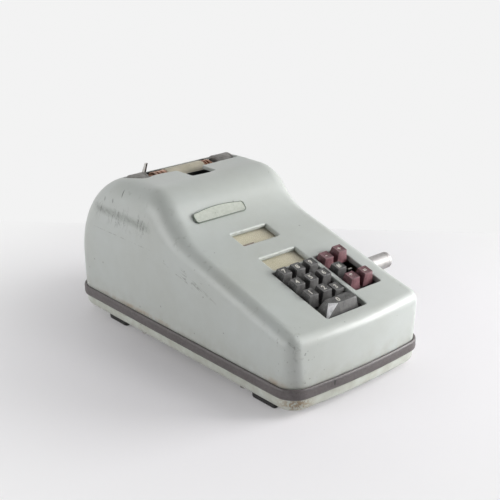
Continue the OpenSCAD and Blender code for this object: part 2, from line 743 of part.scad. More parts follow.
module platen_knobs() placed() color([0.45, 0.45, 0.45]) {
  difference() {
    bar_x(opening_x[0] + 1.5, bracket_x1 - 4.6, platen_y, platen_z, knob_r);
    bar_x(opening_x[0], bracket_x1, platen_y, platen_z, platen_shaft_r + 0.02);
  }
  difference() {
    bar_x(bracket_x2 + frame_t + 2, opening_x[1] - 1.5, platen_y, platen_z, knob_r);
    bar_x(bracket_x2, opening_x[1], platen_y, platen_z, platen_shaft_r + 0.02);
  }
}

// a curved sheet behind the platen, between the two brackets
module paper_chute() placed() color([0.25, 0.25, 0.26])
  along_x(bracket_x1 + frame_t, bracket_x2) translate([platen_y, platen_z])
    polygon(concat(arc([0, 0], platen_r + 3.3, -25, 36, 8), arc([0, 0], platen_r + 2.5, 36, -25, 8)));

// the lever between the left knob and its bracket, and the shaft that it turns
lever_x = bracket_x1 - 3;
roller_r = 5;
roller_a = -80;
roller_gap = platen_r + roller_r + near_gap;
roller_y = platen_y + roller_gap * cos(roller_a);
roller_z = platen_z + roller_gap * sin(roller_a);

module release_lever() placed() color([0.75, 0.75, 0.73]) {
  bar_x(lever_x, bracket_x2 + frame_t + 1, release_y, release_z, 3);
  difference() {
    along_x(lever_x, lever_x + 2) polygon(concat(
      arc([release_y, release_z], 5, -110, 20, 6),
      [[platen_y + 1.6, hood_h + 10], [platen_y - 1.2, hood_h + 10]],
      arc([release_y, release_z], 5, 200, 215, 2)));
    bar_x(lever_x - 1, lever_x + 3, release_y, release_z, 3.02);
  }
  for (x = [-36, -18, 22, 40]) difference() {
    along_x(x, x + 2) polygon(concat(
      arc([release_y, release_z], 5, -80, 80, 6), arc([roller_y, roller_z], 3.5, 100, 260, 6)));
    bar_x(x - 1, x + 3, release_y, release_z, 3.02);
    bar_x(x - 1, x + 3, roller_y, roller_z, 2.02);
  }
}

module pressure_rollers() placed() color([0.2, 0.2, 0.2])
  for (x = [-36, 22]) {
    bar_x(x, x + 20, roller_y, roller_z, 2);
    difference() {
      bar_x(x + 2.3, x + 17.7, roller_y, roller_z, roller_r);
      bar_x(x + 1, x + 19, roller_y, roller_z, 2.02);
    }
  }

// ---- what is drawn ----

housing();
base_pan();
trim_band();
feet();
left_frame();
right_frame();
tie_rods();
frame_screws();
frame_brackets();
pan_screws();
key_top_plate();
key_comb_plate();
window_panes();
indicator_plates();
badge_plate();
hub_bush();
return_spring();
carriage_rails();
register_axle();
type_shaft();
ribbon_deck();
ribbon();
paper_shelf();
platen_brackets();
paper_chute();
drive_shaft();
drive_hub();
drive_gear();
main_shaft();
main_gear();
main_cams();
pin_carriage();
indicator_flag();
register_wheels();
type_sectors();
platen_shaft();
platen_roller();
platen_collars();
platen_knobs();
release_lever();
pressure_rollers();
left_spool();
right_spool();
key_1();
key_2();
key_3();
key_4();
key_5();
key_6();
key_7();
key_8();
key_9();
key_0();
function_key_1();
function_key_2();
function_key_3();
function_key_4();
function_key_5();
bare_stem();
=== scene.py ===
"""Looks of a ten-key mechanical adding machine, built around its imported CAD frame."""

import math

import bmesh
import bpy
from mathutils import Matrix, Vector
from mathutils.geometry import delaunay_2d_cdt


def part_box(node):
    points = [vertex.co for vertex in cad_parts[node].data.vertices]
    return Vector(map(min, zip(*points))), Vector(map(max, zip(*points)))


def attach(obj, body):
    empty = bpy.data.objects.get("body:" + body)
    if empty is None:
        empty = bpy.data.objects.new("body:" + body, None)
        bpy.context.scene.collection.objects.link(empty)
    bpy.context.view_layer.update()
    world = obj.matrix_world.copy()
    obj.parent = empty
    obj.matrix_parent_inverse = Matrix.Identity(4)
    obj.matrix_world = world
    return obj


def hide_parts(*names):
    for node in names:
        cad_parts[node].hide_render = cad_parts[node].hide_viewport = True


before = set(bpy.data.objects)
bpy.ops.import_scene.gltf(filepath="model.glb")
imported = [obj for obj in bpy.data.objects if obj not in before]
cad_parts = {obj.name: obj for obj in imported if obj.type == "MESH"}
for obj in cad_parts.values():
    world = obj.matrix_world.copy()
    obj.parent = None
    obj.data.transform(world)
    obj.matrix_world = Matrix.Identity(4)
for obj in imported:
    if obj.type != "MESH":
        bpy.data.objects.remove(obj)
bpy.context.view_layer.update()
MM = 0.001


def box_mm(node):
    """Lowest and highest corner of a CAD node, in millimetres."""
    lo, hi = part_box(node)
    return lo / MM, hi / MM


# ---- the body's measures, in millimetres ----
# Machine measures: x from the middle plane, y from the front wall, z from the table.
BODY_LO, BODY_HI = box_mm("housing")
PAN_LO, PAN_HI = box_mm("base_pan")
BAND_LO, BAND_HI = box_mm("trim_band")
X_MID = (BODY_LO.x + BODY_HI.x) / 2
Y_FRONT = PAN_LO.y
HALF = (PAN_HI.x - PAN_LO.x) / 2
LENGTH = PAN_HI.y - PAN_LO.y
TOP = BODY_HI.z
SEAM = BODY_LO.z
SHEET_T = 1.15  # thickness of the pressed sheet
SLOPE = math.radians(16.5)  # the deck's slope
HOOD_SLOPE = math.radians(52)
DECK_Z = 80.2  # height where the deck's line meets the front wall
FRONT_R = 13.0  # radius of the deck's front edge
HOLLOW_R = 75.0  # radius of the hollow between deck and hood
HOOD_R = 47.6  # radius over the hood's front
HOOD_Y = 235.0  # where the hood's flat top starts
REAR_R = 105.0  # radius over the hood's rear
BOW = 5.5  # how far the front bows forward
BOW_R = (HALF * HALF + BOW * BOW) / (2 * BOW)


def place(x, y, z):
    """A point in machine measures as a point in the row frame, in metres."""
    return Vector((X_MID + x, Y_FRONT + y, z)) * MM


def deck_point(x, u, n):
    """A point on the deck's own frame: u up the slope, n out of it, in machine measures."""
    return (
        x,
        u * math.cos(SLOPE) - n * math.sin(SLOPE),
        DECK_Z + u * math.sin(SLOPE) + n * math.cos(SLOPE),
    )


def on_deck(x, u, n):
    return place(*deck_point(x, u, n))


# ---- the long profile ----
EDGE_C = (FRONT_R, DECK_Z + FRONT_R * math.tan(SLOPE) - FRONT_R / math.cos(SLOPE))
HOOD_C = (HOOD_Y, TOP - HOOD_R)
REAR_C = (LENGTH - REAR_R, TOP - REAR_R)


def make_profile():
    """Lines (start, direction, length) and arcs (centre, radius, from, to) from front to rear seam."""
    c, s = math.cos(SLOPE), math.sin(SLOPE)
    ch, sh = math.cos(HOOD_SLOPE), math.sin(HOOD_SLOPE)
    hood_foot = (HOOD_C[0] - HOOD_R * sh, HOOD_C[1] + HOOD_R * ch)
    gy, gz = hood_foot[0], hood_foot[1] - DECK_Z
    corner_u = (gy * sh - gz * ch) / (c * sh - s * ch)
    hollow_u = corner_u - HOLLOW_R * math.tan((HOOD_SLOPE - SLOPE) / 2)
    hollow_c = (hollow_u * c - HOLLOW_R * s, DECK_Z + hollow_u * s + HOLLOW_R * c)
    hollow_end = (hollow_c[0] + HOLLOW_R * sh, hollow_c[1] - HOLLOW_R * ch)
    deck_start = (EDGE_C[0] - FRONT_R * s, EDGE_C[1] + FRONT_R * c)
    deck_u = deck_start[0] / c
    quarter = math.pi / 2
    parts = [
        ("line", (0.0, SEAM), (0.0, 1.0), EDGE_C[1] - SEAM),
        ("arc", EDGE_C, FRONT_R, math.pi, quarter + SLOPE),
        ("line", deck_start, (c, s), hollow_u - deck_u),
        ("arc", hollow_c, HOLLOW_R, SLOPE - quarter, HOOD_SLOPE - quarter),
        ("line", hollow_end, (ch, sh), math.dist(hollow_end, hood_foot)),
        ("arc", HOOD_C, HOOD_R, quarter + HOOD_SLOPE, quarter),
        ("line", (HOOD_Y, TOP), (1.0, 0.0), REAR_C[0] - HOOD_Y),
        ("arc", REAR_C, REAR_R, quarter, 0.0),
        ("line", (LENGTH, REAR_C[1]), (0.0, -1.0), REAR_C[1] - SEAM),
    ]
    rows, at = [], 0.0
    for p in parts:
        length = p[3] if p[0] == "line" else p[2] * abs(p[4] - p[3])
        rows.append((at, length, p))
        at += length
    return rows, at, deck_u


PROFILE, S_END, DECK_U0 = make_profile()
# where the front arc, deck, hollow, hood's arc, its flat top and the rear arc start
S_ARC, S_DECK, S_HOLLOW, S_HOOD, S_TOP, S_REAR = [PROFILE[k][0] for k in (1, 2, 3, 5, 6, 7)]


def s_of_u(u):
    """Place along the profile of a point u up the deck."""
    return S_DECK + u - DECK_U0


def s_of_y(y):
    """Place along the profile of a point on the hood's top or rear arc, y behind the front wall."""
    if y <= REAR_C[0]:
        return S_TOP + y - HOOD_Y
    return S_REAR + REAR_R * math.asin((y - REAR_C[0]) / REAR_R)


def profile(s):
    """Point and outward normal of the profile at s, in (y, z)."""
    for at, length, p in PROFILE:
        if s <= at + length + 1e-9:
            break
    d = s - at
    if p[0] == "line":
        (y, z), (ty, tz) = p[1], p[2]
        return y + d * ty, z + d * tz, -tz, ty
    turn = 1 if p[4] > p[3] else -1
    a = p[3] + turn * d / p[2]
    y, z = p[1][0] + p[2] * math.cos(a), p[1][1] + p[2] * math.sin(a)
    return y, z, -turn * math.cos(a), -turn * math.sin(a)


def ease(t):
    t = min(1.0, max(0.0, t))
    return t * t * (3 - 2 * t)


# place along the profile, radius of the rounding along the sides there
EDGE_STEPS = [
    (0.0, 18.0),
    (S_ARC, 12.9),
    (S_DECK, 12.9),
    (S_DECK + 32, 15.5),
    (S_HOLLOW - 8, 15.5),
    (S_HOOD, 25.0),
    (S_END, 25.0),
]


def edge_radius(s):
    """Radius of the rounding along the sides at s."""
    for (s0, r0), (s1, r1) in zip(EDGE_STEPS, EDGE_STEPS[1:]):
        if s <= s1:
            return r0 + (r1 - r0) * ease((s - s0) / (s1 - s0))
    return EDGE_STEPS[-1][1]


# ---- the outer skin ----
HUB_LO, HUB_HI = box_mm("drive_hub")
HUB_R = (HUB_HI.y - HUB_LO.y) / 2
HUB_Y = (HUB_LO.y + HUB_HI.y) / 2 - Y_FRONT
HUB_Z = (HUB_LO.z + HUB_HI.z) / 2
HUB_U = HUB_Y * math.cos(SLOPE) + (HUB_Z - DECK_Z) * math.sin(SLOPE)
HUB_N = (HUB_Z - DECK_Z) * math.cos(SLOPE) - HUB_Y * math.sin(SLOPE)
HUB_DROP, HUB_SPREAD = 20, 34  # how far the grid reaches down around the hub, and along
FLAT = 65.0  # half width of the grid's flat middle
STRIP = 25.0 * math.pi / 2  # width of the grid over each side's rounding
W_MAX = FLAT + STRIP
FADE_U = 16.5  # where the bow of the front has died out on the deck


def side_strip(s, right):
    """How far the sheet is drawn down the right wall around the hub's hole."""
    return HUB_DROP * ease(1.6 - abs(s - s_of_u(HUB_U)) / HUB_SPREAD) if right else 0.0


def strip_parts(s, right):
    """Rounding's radius, width of the flat before it, and both with the wall that follows."""
    r = edge_radius(s)
    flat = HALF - r - FLAT
    return r, flat, flat + r * math.pi / 2 + side_strip(s, right)


def skin(s, w):
    """A point of the outer skin: s along the profile, w across it from the middle."""
    y, z, ny, nz = profile(s)
    x, off = abs(w), 0.0
    if x > FLAT:
        r, flat, total = strip_parts(s, w > 0)
        d = (x - FLAT) / STRIP * total - flat
        if d <= 0:
            x = HALF - r + d
        elif d <= r * math.pi / 2:
            x, off = HALF - r + r * math.sin(d / r), r * (1 - math.cos(d / r))
        else:
            x, off = HALF, r + d - r * math.pi / 2
    bow = BOW_R - math.sqrt(BOW_R * BOW_R - x * x)
    fade = 1.0 if s <= S_DECK else max(0.0, 1 - (s - S_DECK) / (FADE_U - DECK_U0))
    lift = math.tan(SLOPE) * fade * min(1.0, s / S_ARC)
    return Vector((math.copysign(x, w), y - off * ny + bow * fade, z - off * nz + bow * lift))


def skin_normal(s, w):
    e = 0.02
    ds = skin(min(S_END, s + e), w) - skin(max(0.0, s - e), w)
    dw = skin(s, min(W_MAX, w + e)) - skin(s, max(-W_MAX, w - e))
    return dw.cross(ds).normalized()


def skin_wear(w):
    """Wear is strongest half way round the long edges."""
    t = (abs(w) - FLAT) / STRIP
    return math.sin(math.pi * t) ** 2 if t > 0 else 0.0


# ---- outlines ----
ARC_DEGREES = 15  # about one step of a round corner


def rounded(corners, step=2.5):
    """A closed outline through corners (a, b, radius), with round corners and no long edges."""
    out = []
    count = len(corners)
    for k in range(count):
        p, q, nxt = (Vector(corners[(k + j) % count][:2]) for j in (-1, 0, 1))
        r = corners[k][2]
        back, ahead = (p - q).normalized(), (nxt - q).normalized()
        half = back.angle(ahead) / 2
        reach = r / math.tan(half)
        centre = q + (back + ahead).normalized() * (r / math.sin(half))
        a, b = q + back * reach - centre, q + ahead * reach - centre
        turns = max(1, round(math.degrees(math.pi - 2 * half) / ARC_DEGREES))
        out += [centre + a.slerp(b, i / turns).normalized() * r for i in range(turns + 1)]
    dense = []
    for p, q in zip(out, out[1:] + out[:1]):
        parts = max(1, math.ceil((q - p).length / step))
        dense += [p.lerp(q, i / parts) for i in range(parts)]
    return dense


def area(outline):
    return sum(p.cross(q) for p, q in zip(outline, outline[1:] + outline[:1])) / 2


def inside(p, outline):
    hit = False
    for a, b in zip(outline, outline[1:] + outline[:1]):
        if (a.y > p.y) != (b.y > p.y) and p.x < a.x + (p.y - a.y) * (b.x - a.x) / (b.y - a.y):
            hit = not hit
    return hit


def near(p, outline, reach):
    for a, b in zip(outline, outline[1:] + outline[:1]):
        t = min(1.0, max(0.0, (p - a).dot(b - a) / (b - a).length_squared))
        if (p - a - t * (b - a)).length < reach:
            return True
    return False


def deck_hole(x0, x1, u0, u1, corner, lip):
    """A rectangular hole of the deck as an outline in (s, w), at the outer start of its lip."""
    r = corner + lip
    a, b, c, d = x0 - lip, x1 + lip, s_of_u(u0 - lip), s_of_u(u1 + lip)
    return rounded([(c, a, r), (c, b, r), (d, b, r), (d, a, r)])


def hub_hole(r, sides=32):
    """The round hole for the hub in the right wall, in (s, w)."""
    out = []
    for k in range(sides):
        a = math.tau * k / sides
        s = s_of_u(HUB_U + r * math.cos(a))
        edge, flat, total = strip_parts(s, True)
        depth = -(HUB_N + r * math.sin(a))
        if depth < edge:
            d = flat + edge * math.acos(1 - depth / edge)
        else:
            d = flat + (edge * math.pi / 2 + depth - edge)
        out.append(Vector((s, FLAT + STRIP * d / total)))
    return out


# x and u of the pockets for the keys, and of the two windows
DIGIT_POCKET = (-33.0, 20.3, 16.7, 98.2)
FUNCTION_POCKET = (26.5, 62.7, 38.0, 101.0)
LOWER_WINDOW = (-27.4, 20.6, 101.6, 123.8)
UPPER_WINDOW = (-27.4, 20.6, 148.9, 171.1)
# x, y and corner radius of the opening over the platen
OPENING = [
    (-70, 301, 7), (-70, 283, 14), (-66.5, 265.5, 13), (-57, 265.2, 8), (-47, 268.6, 9),
    (-36, 268.2, 20), (-19, 265.6, 1.2), (-18.3, 238, 2.2), (-6, 236.6, 30), (2, 236.6, 30),
    (15.8, 238.4, 2.2), (15.4, 262.2, 1.2), (40, 263.2, 20), (71.5, 263.8, 7), (71.5, 301, 7),
]
# outline in (s, w), radius of the lip, depth of the wall under it
HOLES = [
    (deck_hole(*DIGIT_POCKET, 1.6, 1.2), 1.2, 4.2),
    (deck_hole(*FUNCTION_POCKET, 1.6, 1.2), 1.2, 4.2),
    (deck_hole(*LOWER_WINDOW, 0.9, 2.3), 2.3, 2.1),
    (deck_hole(*UPPER_WINDOW, 0.9, 2.3), 2.3, 2.1),
    (rounded([(s_of_y(y), x, r) for x, y, r in OPENING]), 1.3, 2.4),
    (hub_hole(HUB_R + 1.6), 0.8, 1.2),
]
HOLE_CLEAR = 1.3  # the grid's points keep this far from a hole
GRID_ROWS = [7, 9, 24, 12, 1, 14, 5, 26, 6]  # steps along each part of the profile
STRIP_COLUMNS = 14


def grid_lines():
    """Lines of the skin's grid along the profile and across it."""
    along = [0.0]
    for (at, length, _), n in zip(PROFILE, GRID_ROWS):
        along += [at + length * (i + 1) / n for i in range(n)]
    strip = [FLAT + STRIP * i / STRIP_COLUMNS for i in range(1, STRIP_COLUMNS + 1)]
    across = [-w for w in reversed(strip)] + [FLAT * (i / 10 - 1) for i in range(21)] + strip
    return along, across


# ---- the housing ----


class Sheet:
    """Points, normals, wear and faces of a pressed sheet while it is being made."""

    def __init__(self):
        self.points, self.normals, self.wear, self.faces = [], [], [], []

    def add(self, point, normal, wear=0.0):
        self.points.append(point)
        self.normals.append(normal)
        self.wear.append(wear)
        return len(self.points) - 1

    def strip(self, low, high):
        """Quads between two closed rows of point numbers."""
        count = len(low)
        for i in range(count):
            j = (i + 1) % count
            self.faces.append((low[i], low[j], high[j], high[i]))

    def thicken(self, depth):
        """Closes the sheet with an inner side at this depth."""
        count = len(self.points)
        used = {}
        for f in self.faces:
            for edge in zip(f, f[1:] + f[:1]):
                used[edge] = True
        self.points += [p - n * depth for p, n in zip(self.points, self.normals)]
        self.normals += [-n for n in self.normals]
        self.wear += [0.0] * count
        self.faces += [tuple(v + count for v in reversed(f)) for f in list(self.faces)]
        for a, b in used:
            if (b, a) not in used:
                self.faces.append((b, a, a + count, b + count))

    def mesh(self, name):
        mesh = bpy.data.meshes.new(name)
        mesh.from_pydata([place(*p) for p in self.points], [], self.faces)
        mesh.attributes.new("wear", "FLOAT", "POINT").data.foreach_set("value", self.wear)
        mesh.shade_smooth()
        mesh.normals_split_custom_set_from_vertices(self.normals)
        return mesh


def bridge(sheet, row, new, turn):
    if turn > 0:
        sheet.strip(new, row)
    else:
        sheet.strip(row, new)


def lip_rows(sheet, row, outline, radius, depth, steps=5):
    """Rolls the sheet's edge down into a hole and adds the straight wall under it."""
    turn = 1 if area(outline) > 0 else -1
    base = [(sheet.points[i], sheet.normals[i]) for i in row]
    dirs = []
    for k, p in enumerate(outline):
        along = outline[(k + 1) % len(outline)] - outline[k - 1]
        inward = Vector((-along.y, along.x)).normalized() * turn * 0.05
        step = skin(p.x + inward.x, p.y + inward.y) - skin(p.x, p.y)
        dirs.append(step.normalized())
    for i in range(1, steps + 1):
        a = math.pi / 2 * i / steps
        new = []
        for (p, n), d in zip(base, dirs):
            at = p + d * radius * math.sin(a) - n * radius * (1 - math.cos(a))
            new.append(sheet.add(at, (n * math.cos(a) + d * math.sin(a)).normalized(), 1.0))
        bridge(sheet, row, new, turn)
        row = new
    new = [sheet.add(sheet.points[i] - n * depth, sheet.normals[i]) for i, (_, n) in zip(row, base)]
    bridge(sheet, row, new, turn)


def in_the_way(p, outline):
    """Whether a point of the grid lies in a hole or too near to its edge."""
    if not min(q.x for q in outline) - 2 < p.x < max(q.x for q in outline) + 2:
        return False
    return inside(p, outline) or near(p, outline, HOLE_CLEAR)


def build_housing():
    along, across = grid_lines()
    outlines = [h[0] for h in HOLES]
    dots = [Vector((s, w)) for s in along for w in across]
    keep = [p for p in dots if not any(in_the_way(p, o) for o in outlines)]
    edges, firsts = [], []
    for o in outlines:
        first = len(keep)
        firsts.append(first)
        keep += o
        edges += [(first + i, first + (i + 1) % len(o)) for i in range(len(o))]
    flat, _, tris, origin, _, _ = delaunay_2d_cdt(keep, edges, [], 0, 1e-5)
    number = {src: i for i, group in enumerate(origin) for src in group}
    sheet = Sheet()
    for s, w in flat:
        sheet.add(skin(s, w), skin_normal(s, w), skin_wear(w))
    for t in tris:
        middle = sum((flat[i] for i in t), Vector((0.0, 0.0))) / len(t)
        if any(inside(middle, o) for o in outlines):
            continue
        a, b, c = (flat[i] for i in t)
        # the grid's second coordinate runs along +x and the first up the profile
        sheet.faces.append(tuple(t) if (b - a).cross(c - a) < 0 else tuple(reversed(t)))
    for (outline, lip, depth), first in zip(HOLES, firsts):
        row = [number[first + i] for i in range(len(outline))]
        lip_rows(sheet, row, outline, lip, depth)
    # one flat face closes each side wall, between the grid's border and the seam
    for w, turn in ((W_MAX, -1), (-W_MAX, 1)):
        rim = sorted((p.x, i) for i, p in enumerate(flat) if abs(p.y - w) < 1e-4)
        sheet.faces.append(tuple(i for _, i in rim[::turn]))
    sheet.thicken(SHEET_T)
    return sheet.mesh("housing_skin")


def add_piece(name, mesh, material, body="root", stands_for=()):
    """Links a mesh as a piece that rides on a body and may stand for CAD nodes."""
    obj = bpy.data.objects.new(name, mesh)
    bpy.context.scene.collection.objects.link(obj)
    if material is not None:
        mesh.materials.append(material)
    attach(obj, body)
    if stands_for:
        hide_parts(*stands_for)
    return obj


# ---- making solid pieces ----


class Part:
    """Lofted and flat parts gathered into one mesh, in the row frame, in metres."""

    def __init__(self):
        self.points, self.faces, self.slots = [], [], []

    def loft(self, rings, slot=0, capped=True, loop=False):
        """Joins rings of equal length; capped closes both ends, loop joins the last to the first."""
        first, count = len(self.points), len(rings[0])
        for ring in rings:
            self.points += ring
        rows = len(rings)
        for k in range(rows if loop else rows - 1):
            a, b = first + k * count, first + (k + 1) % rows * count
            for i in range(count):
                j = (i + 1) % count
                self.face((a + i, a + j, b + j, b + i), slot)
        if capped and not loop:
            self.face(tuple(reversed(range(first, first + count))), slot)
            self.face(tuple(range(first + (rows - 1) * count, first + rows * count)), slot)

    def face(self, loop, slot=0):
        self.faces.append(loop)
        self.slots.append(slot)

    def mesh(self, name, materials, sharp=35.0):
        mesh = bpy.data.meshes.new(name)
        mesh.from_pydata(self.points, [], self.faces)
        mesh.polygons.foreach_set("material_index", self.slots)
        for material in materials:
            mesh.materials.append(material)
        work = bmesh.new()
        work.from_mesh(mesh)
        bmesh.ops.remove_doubles(work, verts=work.verts, dist=1e-7)
        bmesh.ops.recalc_face_normals(work, faces=work.faces)
        work.to_mesh(mesh)
        work.free()
        mesh.shade_smooth()
        mesh.set_sharp_from_angle(angle=math.radians(sharp))
        return mesh


def rect_ring(x0, x1, u0, u1, radius, steps=4):
    """A rectangle with round corners, from the front right one over the rear right one."""
    out = []
    for x, u, a0 in ((x1, u0, -90), (x1, u1, 0), (x0, u1, 90), (x0, u0, 180)):
        cx = x - radius if x == x1 else x + radius
        cu = u + radius if u == u0 else u - radius
        for i in range(steps + 1):
            a = math.radians(a0 + 90 * i / steps)
            out.append((cx + radius * math.cos(a), cu + radius * math.sin(a)))
    return out


def lathe(part, outline, y, z, sides=64, flutes=0, depth=0.0):
    """Turns a closed outline around the X axis through (y, z), in row-frame millimetres.

    A point of the outline is (x, r), or (x, r, True) where the flutes are cut in.
    """
    rings = []
    for x, r, *fluted in outline:
        ring = []
        for i in range(sides):
            a = math.tau * i / sides
            rr = r - (depth * max(0.0, math.cos(a * flutes)) if fluted else 0.0)
            ring.append(Vector((x, y + rr * math.cos(a), z + rr * math.sin(a))) * MM)
        rings.append(ring)
    part.loft(rings, loop=True)


# ---- base: pan, band and feet ----
SIDE_STEPS = 40  # points along each straight side of the seam
PAN_BEND = 7.0  # radius between the pan's wall and its floor
PAN_BEND_STEPS = 7
# how far out of the body's outline, and height
BAND_ROWS = [
    (0.25, BAND_HI.z - 0.5), (1.1, BAND_HI.z), (2.0, BAND_HI.z - 0.25), (2.65, BAND_HI.z - 1.0),
    (2.95, BAND_HI.z - 2.6), (3.0, BAND_HI.z - 4.2), (2.9, BAND_HI.z - 5.4), (3.0, BAND_LO.z + 4.0),
    (2.95, BAND_LO.z + 2.4), (2.6, BAND_LO.z + 1.0), (1.8, BAND_LO.z + 0.25), (0.9, BAND_LO.z),
    (0.15, BAND_LO.z + 0.3),
]
FOOT_X, FOOT_Y = 80, (34, LENGTH - 88)  # middle of a foot, and where its front end lies
FOOT_W, FOOT_L = 10, 34


def seam_outline():
    """The body's outline at the seam from above, with its outward directions, in machine measures."""
    across = grid_lines()[1]
    front = [skin(0.0, w).xy for w in across]
    rear = [skin(S_END, w).xy for w in reversed(across)]
    right = [front[-1].lerp(rear[0], i / SIDE_STEPS) for i in range(1, SIDE_STEPS)]
    left = [rear[-1].lerp(front[0], i / SIDE_STEPS) for i in range(1, SIDE_STEPS)]
    line = front + right + rear + left
    out = []
    for k, p in enumerate(line):
        along = line[(k + 1) % len(line)] - line[k - 1]
        out.append((p, Vector((along.y, -along.x)).normalized()))
    return out


def seam_rings(rows):
    """Rings around the body, from rows of how far out and how high."""
    outline = seam_outline()
    return [[place(*(p + d * out), z) for p, d in outline] for out, z in rows]


def build_pan():
    part = Part()
    foot, top = PAN_LO.z, PAN_HI.z
    rim = (-SHEET_T, top - 0.3)
    outer = [rim, (-0.3, top - 0.05), (0.0, top - 0.4), (0.0, 14.0)]
    for i in range(1, PAN_BEND_STEPS + 1):
        a = math.pi / 2 * i / PAN_BEND_STEPS
        sag = 1 - i / PAN_BEND_STEPS
        outer.append((-PAN_BEND * (1 - math.cos(a)), foot + PAN_BEND * (1 - math.sin(a)) + sag))
    inner = [rim, (-SHEET_T, 15.0), (-6.0, 8.0), (-9.0, foot + SHEET_T)]
    for rows in (outer, inner):
        rings = seam_rings(rows)
        part.loft(rings, capped=False)
        part.face(tuple(range(len(part.points) - len(rings[0]), len(part.points))))
    return part


def build_band():
    part = Part()
    part.loft(seam_rings(BAND_ROWS), loop=True)
    return part


def build_feet():
    part = Part()
    top = box_mm("feet")[1].z
    for side in (-1, 1):
        for front in FOOT_Y:
            x, y = side * FOOT_X, Y_FRONT + front
            rings = []
            for grow, z in ((-1.6, 0.0), (-0.5, 0.5), (0.0, 1.6), (0.3, top - 0.02)):
                half = FOOT_W / 2 + grow - 0.3
                ring = rect_ring(x - half, x + half, y - grow + 0.3, y + FOOT_L + grow - 0.3, 2.4)
                rings.append([Vector((X_MID + a, b, z)) * MM for a, b in ring])
            part.loft(rings)
    return part


# ---- badge ----
BADGE_LO, BADGE_HI = box_mm("badge_plate")
BADGE_SLOPE = math.radians(45.6)
BADGE_BACK = 2.0  # thickness of the CAD plate
# middle of a corner, its radius, the straight lower side, the corners' top, the arch above them
BADGE_END, BADGE_R, BADGE_LOW, BADGE_HIGH, BADGE_ARCH = 29.75, 4.0, -7.3, 4.7, 2.6
ARCH_STEPS, CORNER_STEPS = 14, 6
RIM, FIELD = 1, 2  # the badge's material slots
# how far the outline is drawn in, its height over the back, material of the strip that ends here
BADGE_ROWS = [
    (0.35, 0.0, RIM), (0.0, 0.3, RIM), (0.0, 1.5, RIM), (0.2, 1.85, RIM),
    (0.6, 1.98, 0), (0.9, 1.85, 0), (1.05, 1.4, FIELD), (1.5, 1.35, FIELD),
]


def badge_outline(shrink):
    """The blank badge's outline: straight below, arched above, with rounded corners."""
    r, out = BADGE_R - shrink, []
    for x, v, start, sweep in (
        (BADGE_END, BADGE_LOW + BADGE_R, -90, 90),
        (BADGE_END, BADGE_HIGH - BADGE_R, 0, 80),
        (-BADGE_END, BADGE_HIGH - BADGE_R, 100, 80),
        (-BADGE_END, BADGE_LOW + BADGE_R, 180, 90),
    ):
        if start == 100:
            for i in range(ARCH_STEPS + 1):
                t = 1 - 2 * i / ARCH_STEPS
                arch = BADGE_HIGH - shrink + BADGE_ARCH * (1 - t * t)
                out.append((t * (BADGE_END - 2.0), arch))
        for i in range(CORNER_STEPS + 1):
            a = math.radians(start + sweep * i / CORNER_STEPS)
            out.append((x + r * math.cos(a), v + r * math.sin(a)))
    return out


def build_badge():
    part = Part()
    x = (BADGE_LO.x + BADGE_HI.x) / 2
    c, s = math.cos(BADGE_SLOPE), math.sin(BADGE_SLOPE)
    # the box's lowest front corner is the foot of the CAD plate's back face
    y0 = BADGE_LO.y - BADGE_LOW * c + BADGE_BACK * s
    z0 = BADGE_LO.z - BADGE_LOW * s
    rings = []
    for shrink, n, _ in BADGE_ROWS:
        ring = [(x + a, y0 + v * c - n * s, z0 + v * s + n * c) for a, v in badge_outline(shrink)]
        rings.append([Vector(p) * MM for p in ring])
    for low, high, (_, _, slot) in zip(rings, rings[1:], BADGE_ROWS[1:]):
        part.loft([low, high], slot, capped=False)
    first, count = len(part.points), len(rings[0])
    part.points += rings[0] + rings[-1]
    part.face(tuple(reversed(range(first, first + count))), RIM)
    part.face(tuple(range(first + count, first + 2 * count)), FIELD)
    return part


# ---- keys ----
SIGN_SLOT, STEM_SLOT, FACET_SLOT = 1, 2, 3  # a cap's material slots besides its plastic
STEM_FOOT = -52.0  # lower end of the stems, under the deck
CAP_TOP = 5.0  # height of a cap's top over the deck
CAP_TALL = 14.0
CAP_FOOT = 7.6  # half width of a cap's foot
CAP_DISH, BAR_DISH = 0.75, 0.5  # depth of the hollow in a cap's top
CAP_LIP = 0.24  # how far the edge of a cap's top is drawn in
# share of a cap's height, and how far its sides are drawn in there
CAP_LEVELS = [
    (0.0, 0.2), (0.015, 0.0), (0.25, 0.10), (0.5, 0.15),
    (0.75, 0.10), (0.965, 0.0), (0.985, 0.06), (1.0, CAP_LIP),
]
TAPER_END = 0.96  # share of the height where the sides reach the top's size
BAR_LOW = (-29.0, 17.0, 20.5, 38.0)
BAR_HIGH = (-21.0, 14.0, 26.0, 36.0)
BAR_FOOT = -9.0
FACET = (9.0, 3.6)  # how far the facet cuts along the bar's top, and into it
# middle of each cap, in x and u
DIGIT_SPOTS = {
    str(3 * row + col + 1): (-24.0 + 18 * col, 51.3 + 19.5 * row) for row in range(3) for col in range(3)
}
DIGIT_LIFTS = {"3": -4.5}
# middle in x and u, lift, sign and plastic of each function key
FUNCTION_KEYS = [
    (35.5, 92.3, 0.0, "-", "maroon"),
    (53.9, 92.3, 3.0, "+", "maroon"),
    (35.5, 72.8, -0.5, "#", "charcoal"),
    (35.5, 53.3, 0.0, "*", "maroon"),
    (53.9, 53.3, 1.0, "=", "maroon"),
]


def add_stem(part, x, u, low, high):
    ring = rect_ring(x - 2.5, x + 2.5, u - 0.8, u + 0.8, 0.2, steps=1)
    part.loft([[on_deck(a, b, n) for a, b in ring] for n in (low, high)], STEM_SLOT)


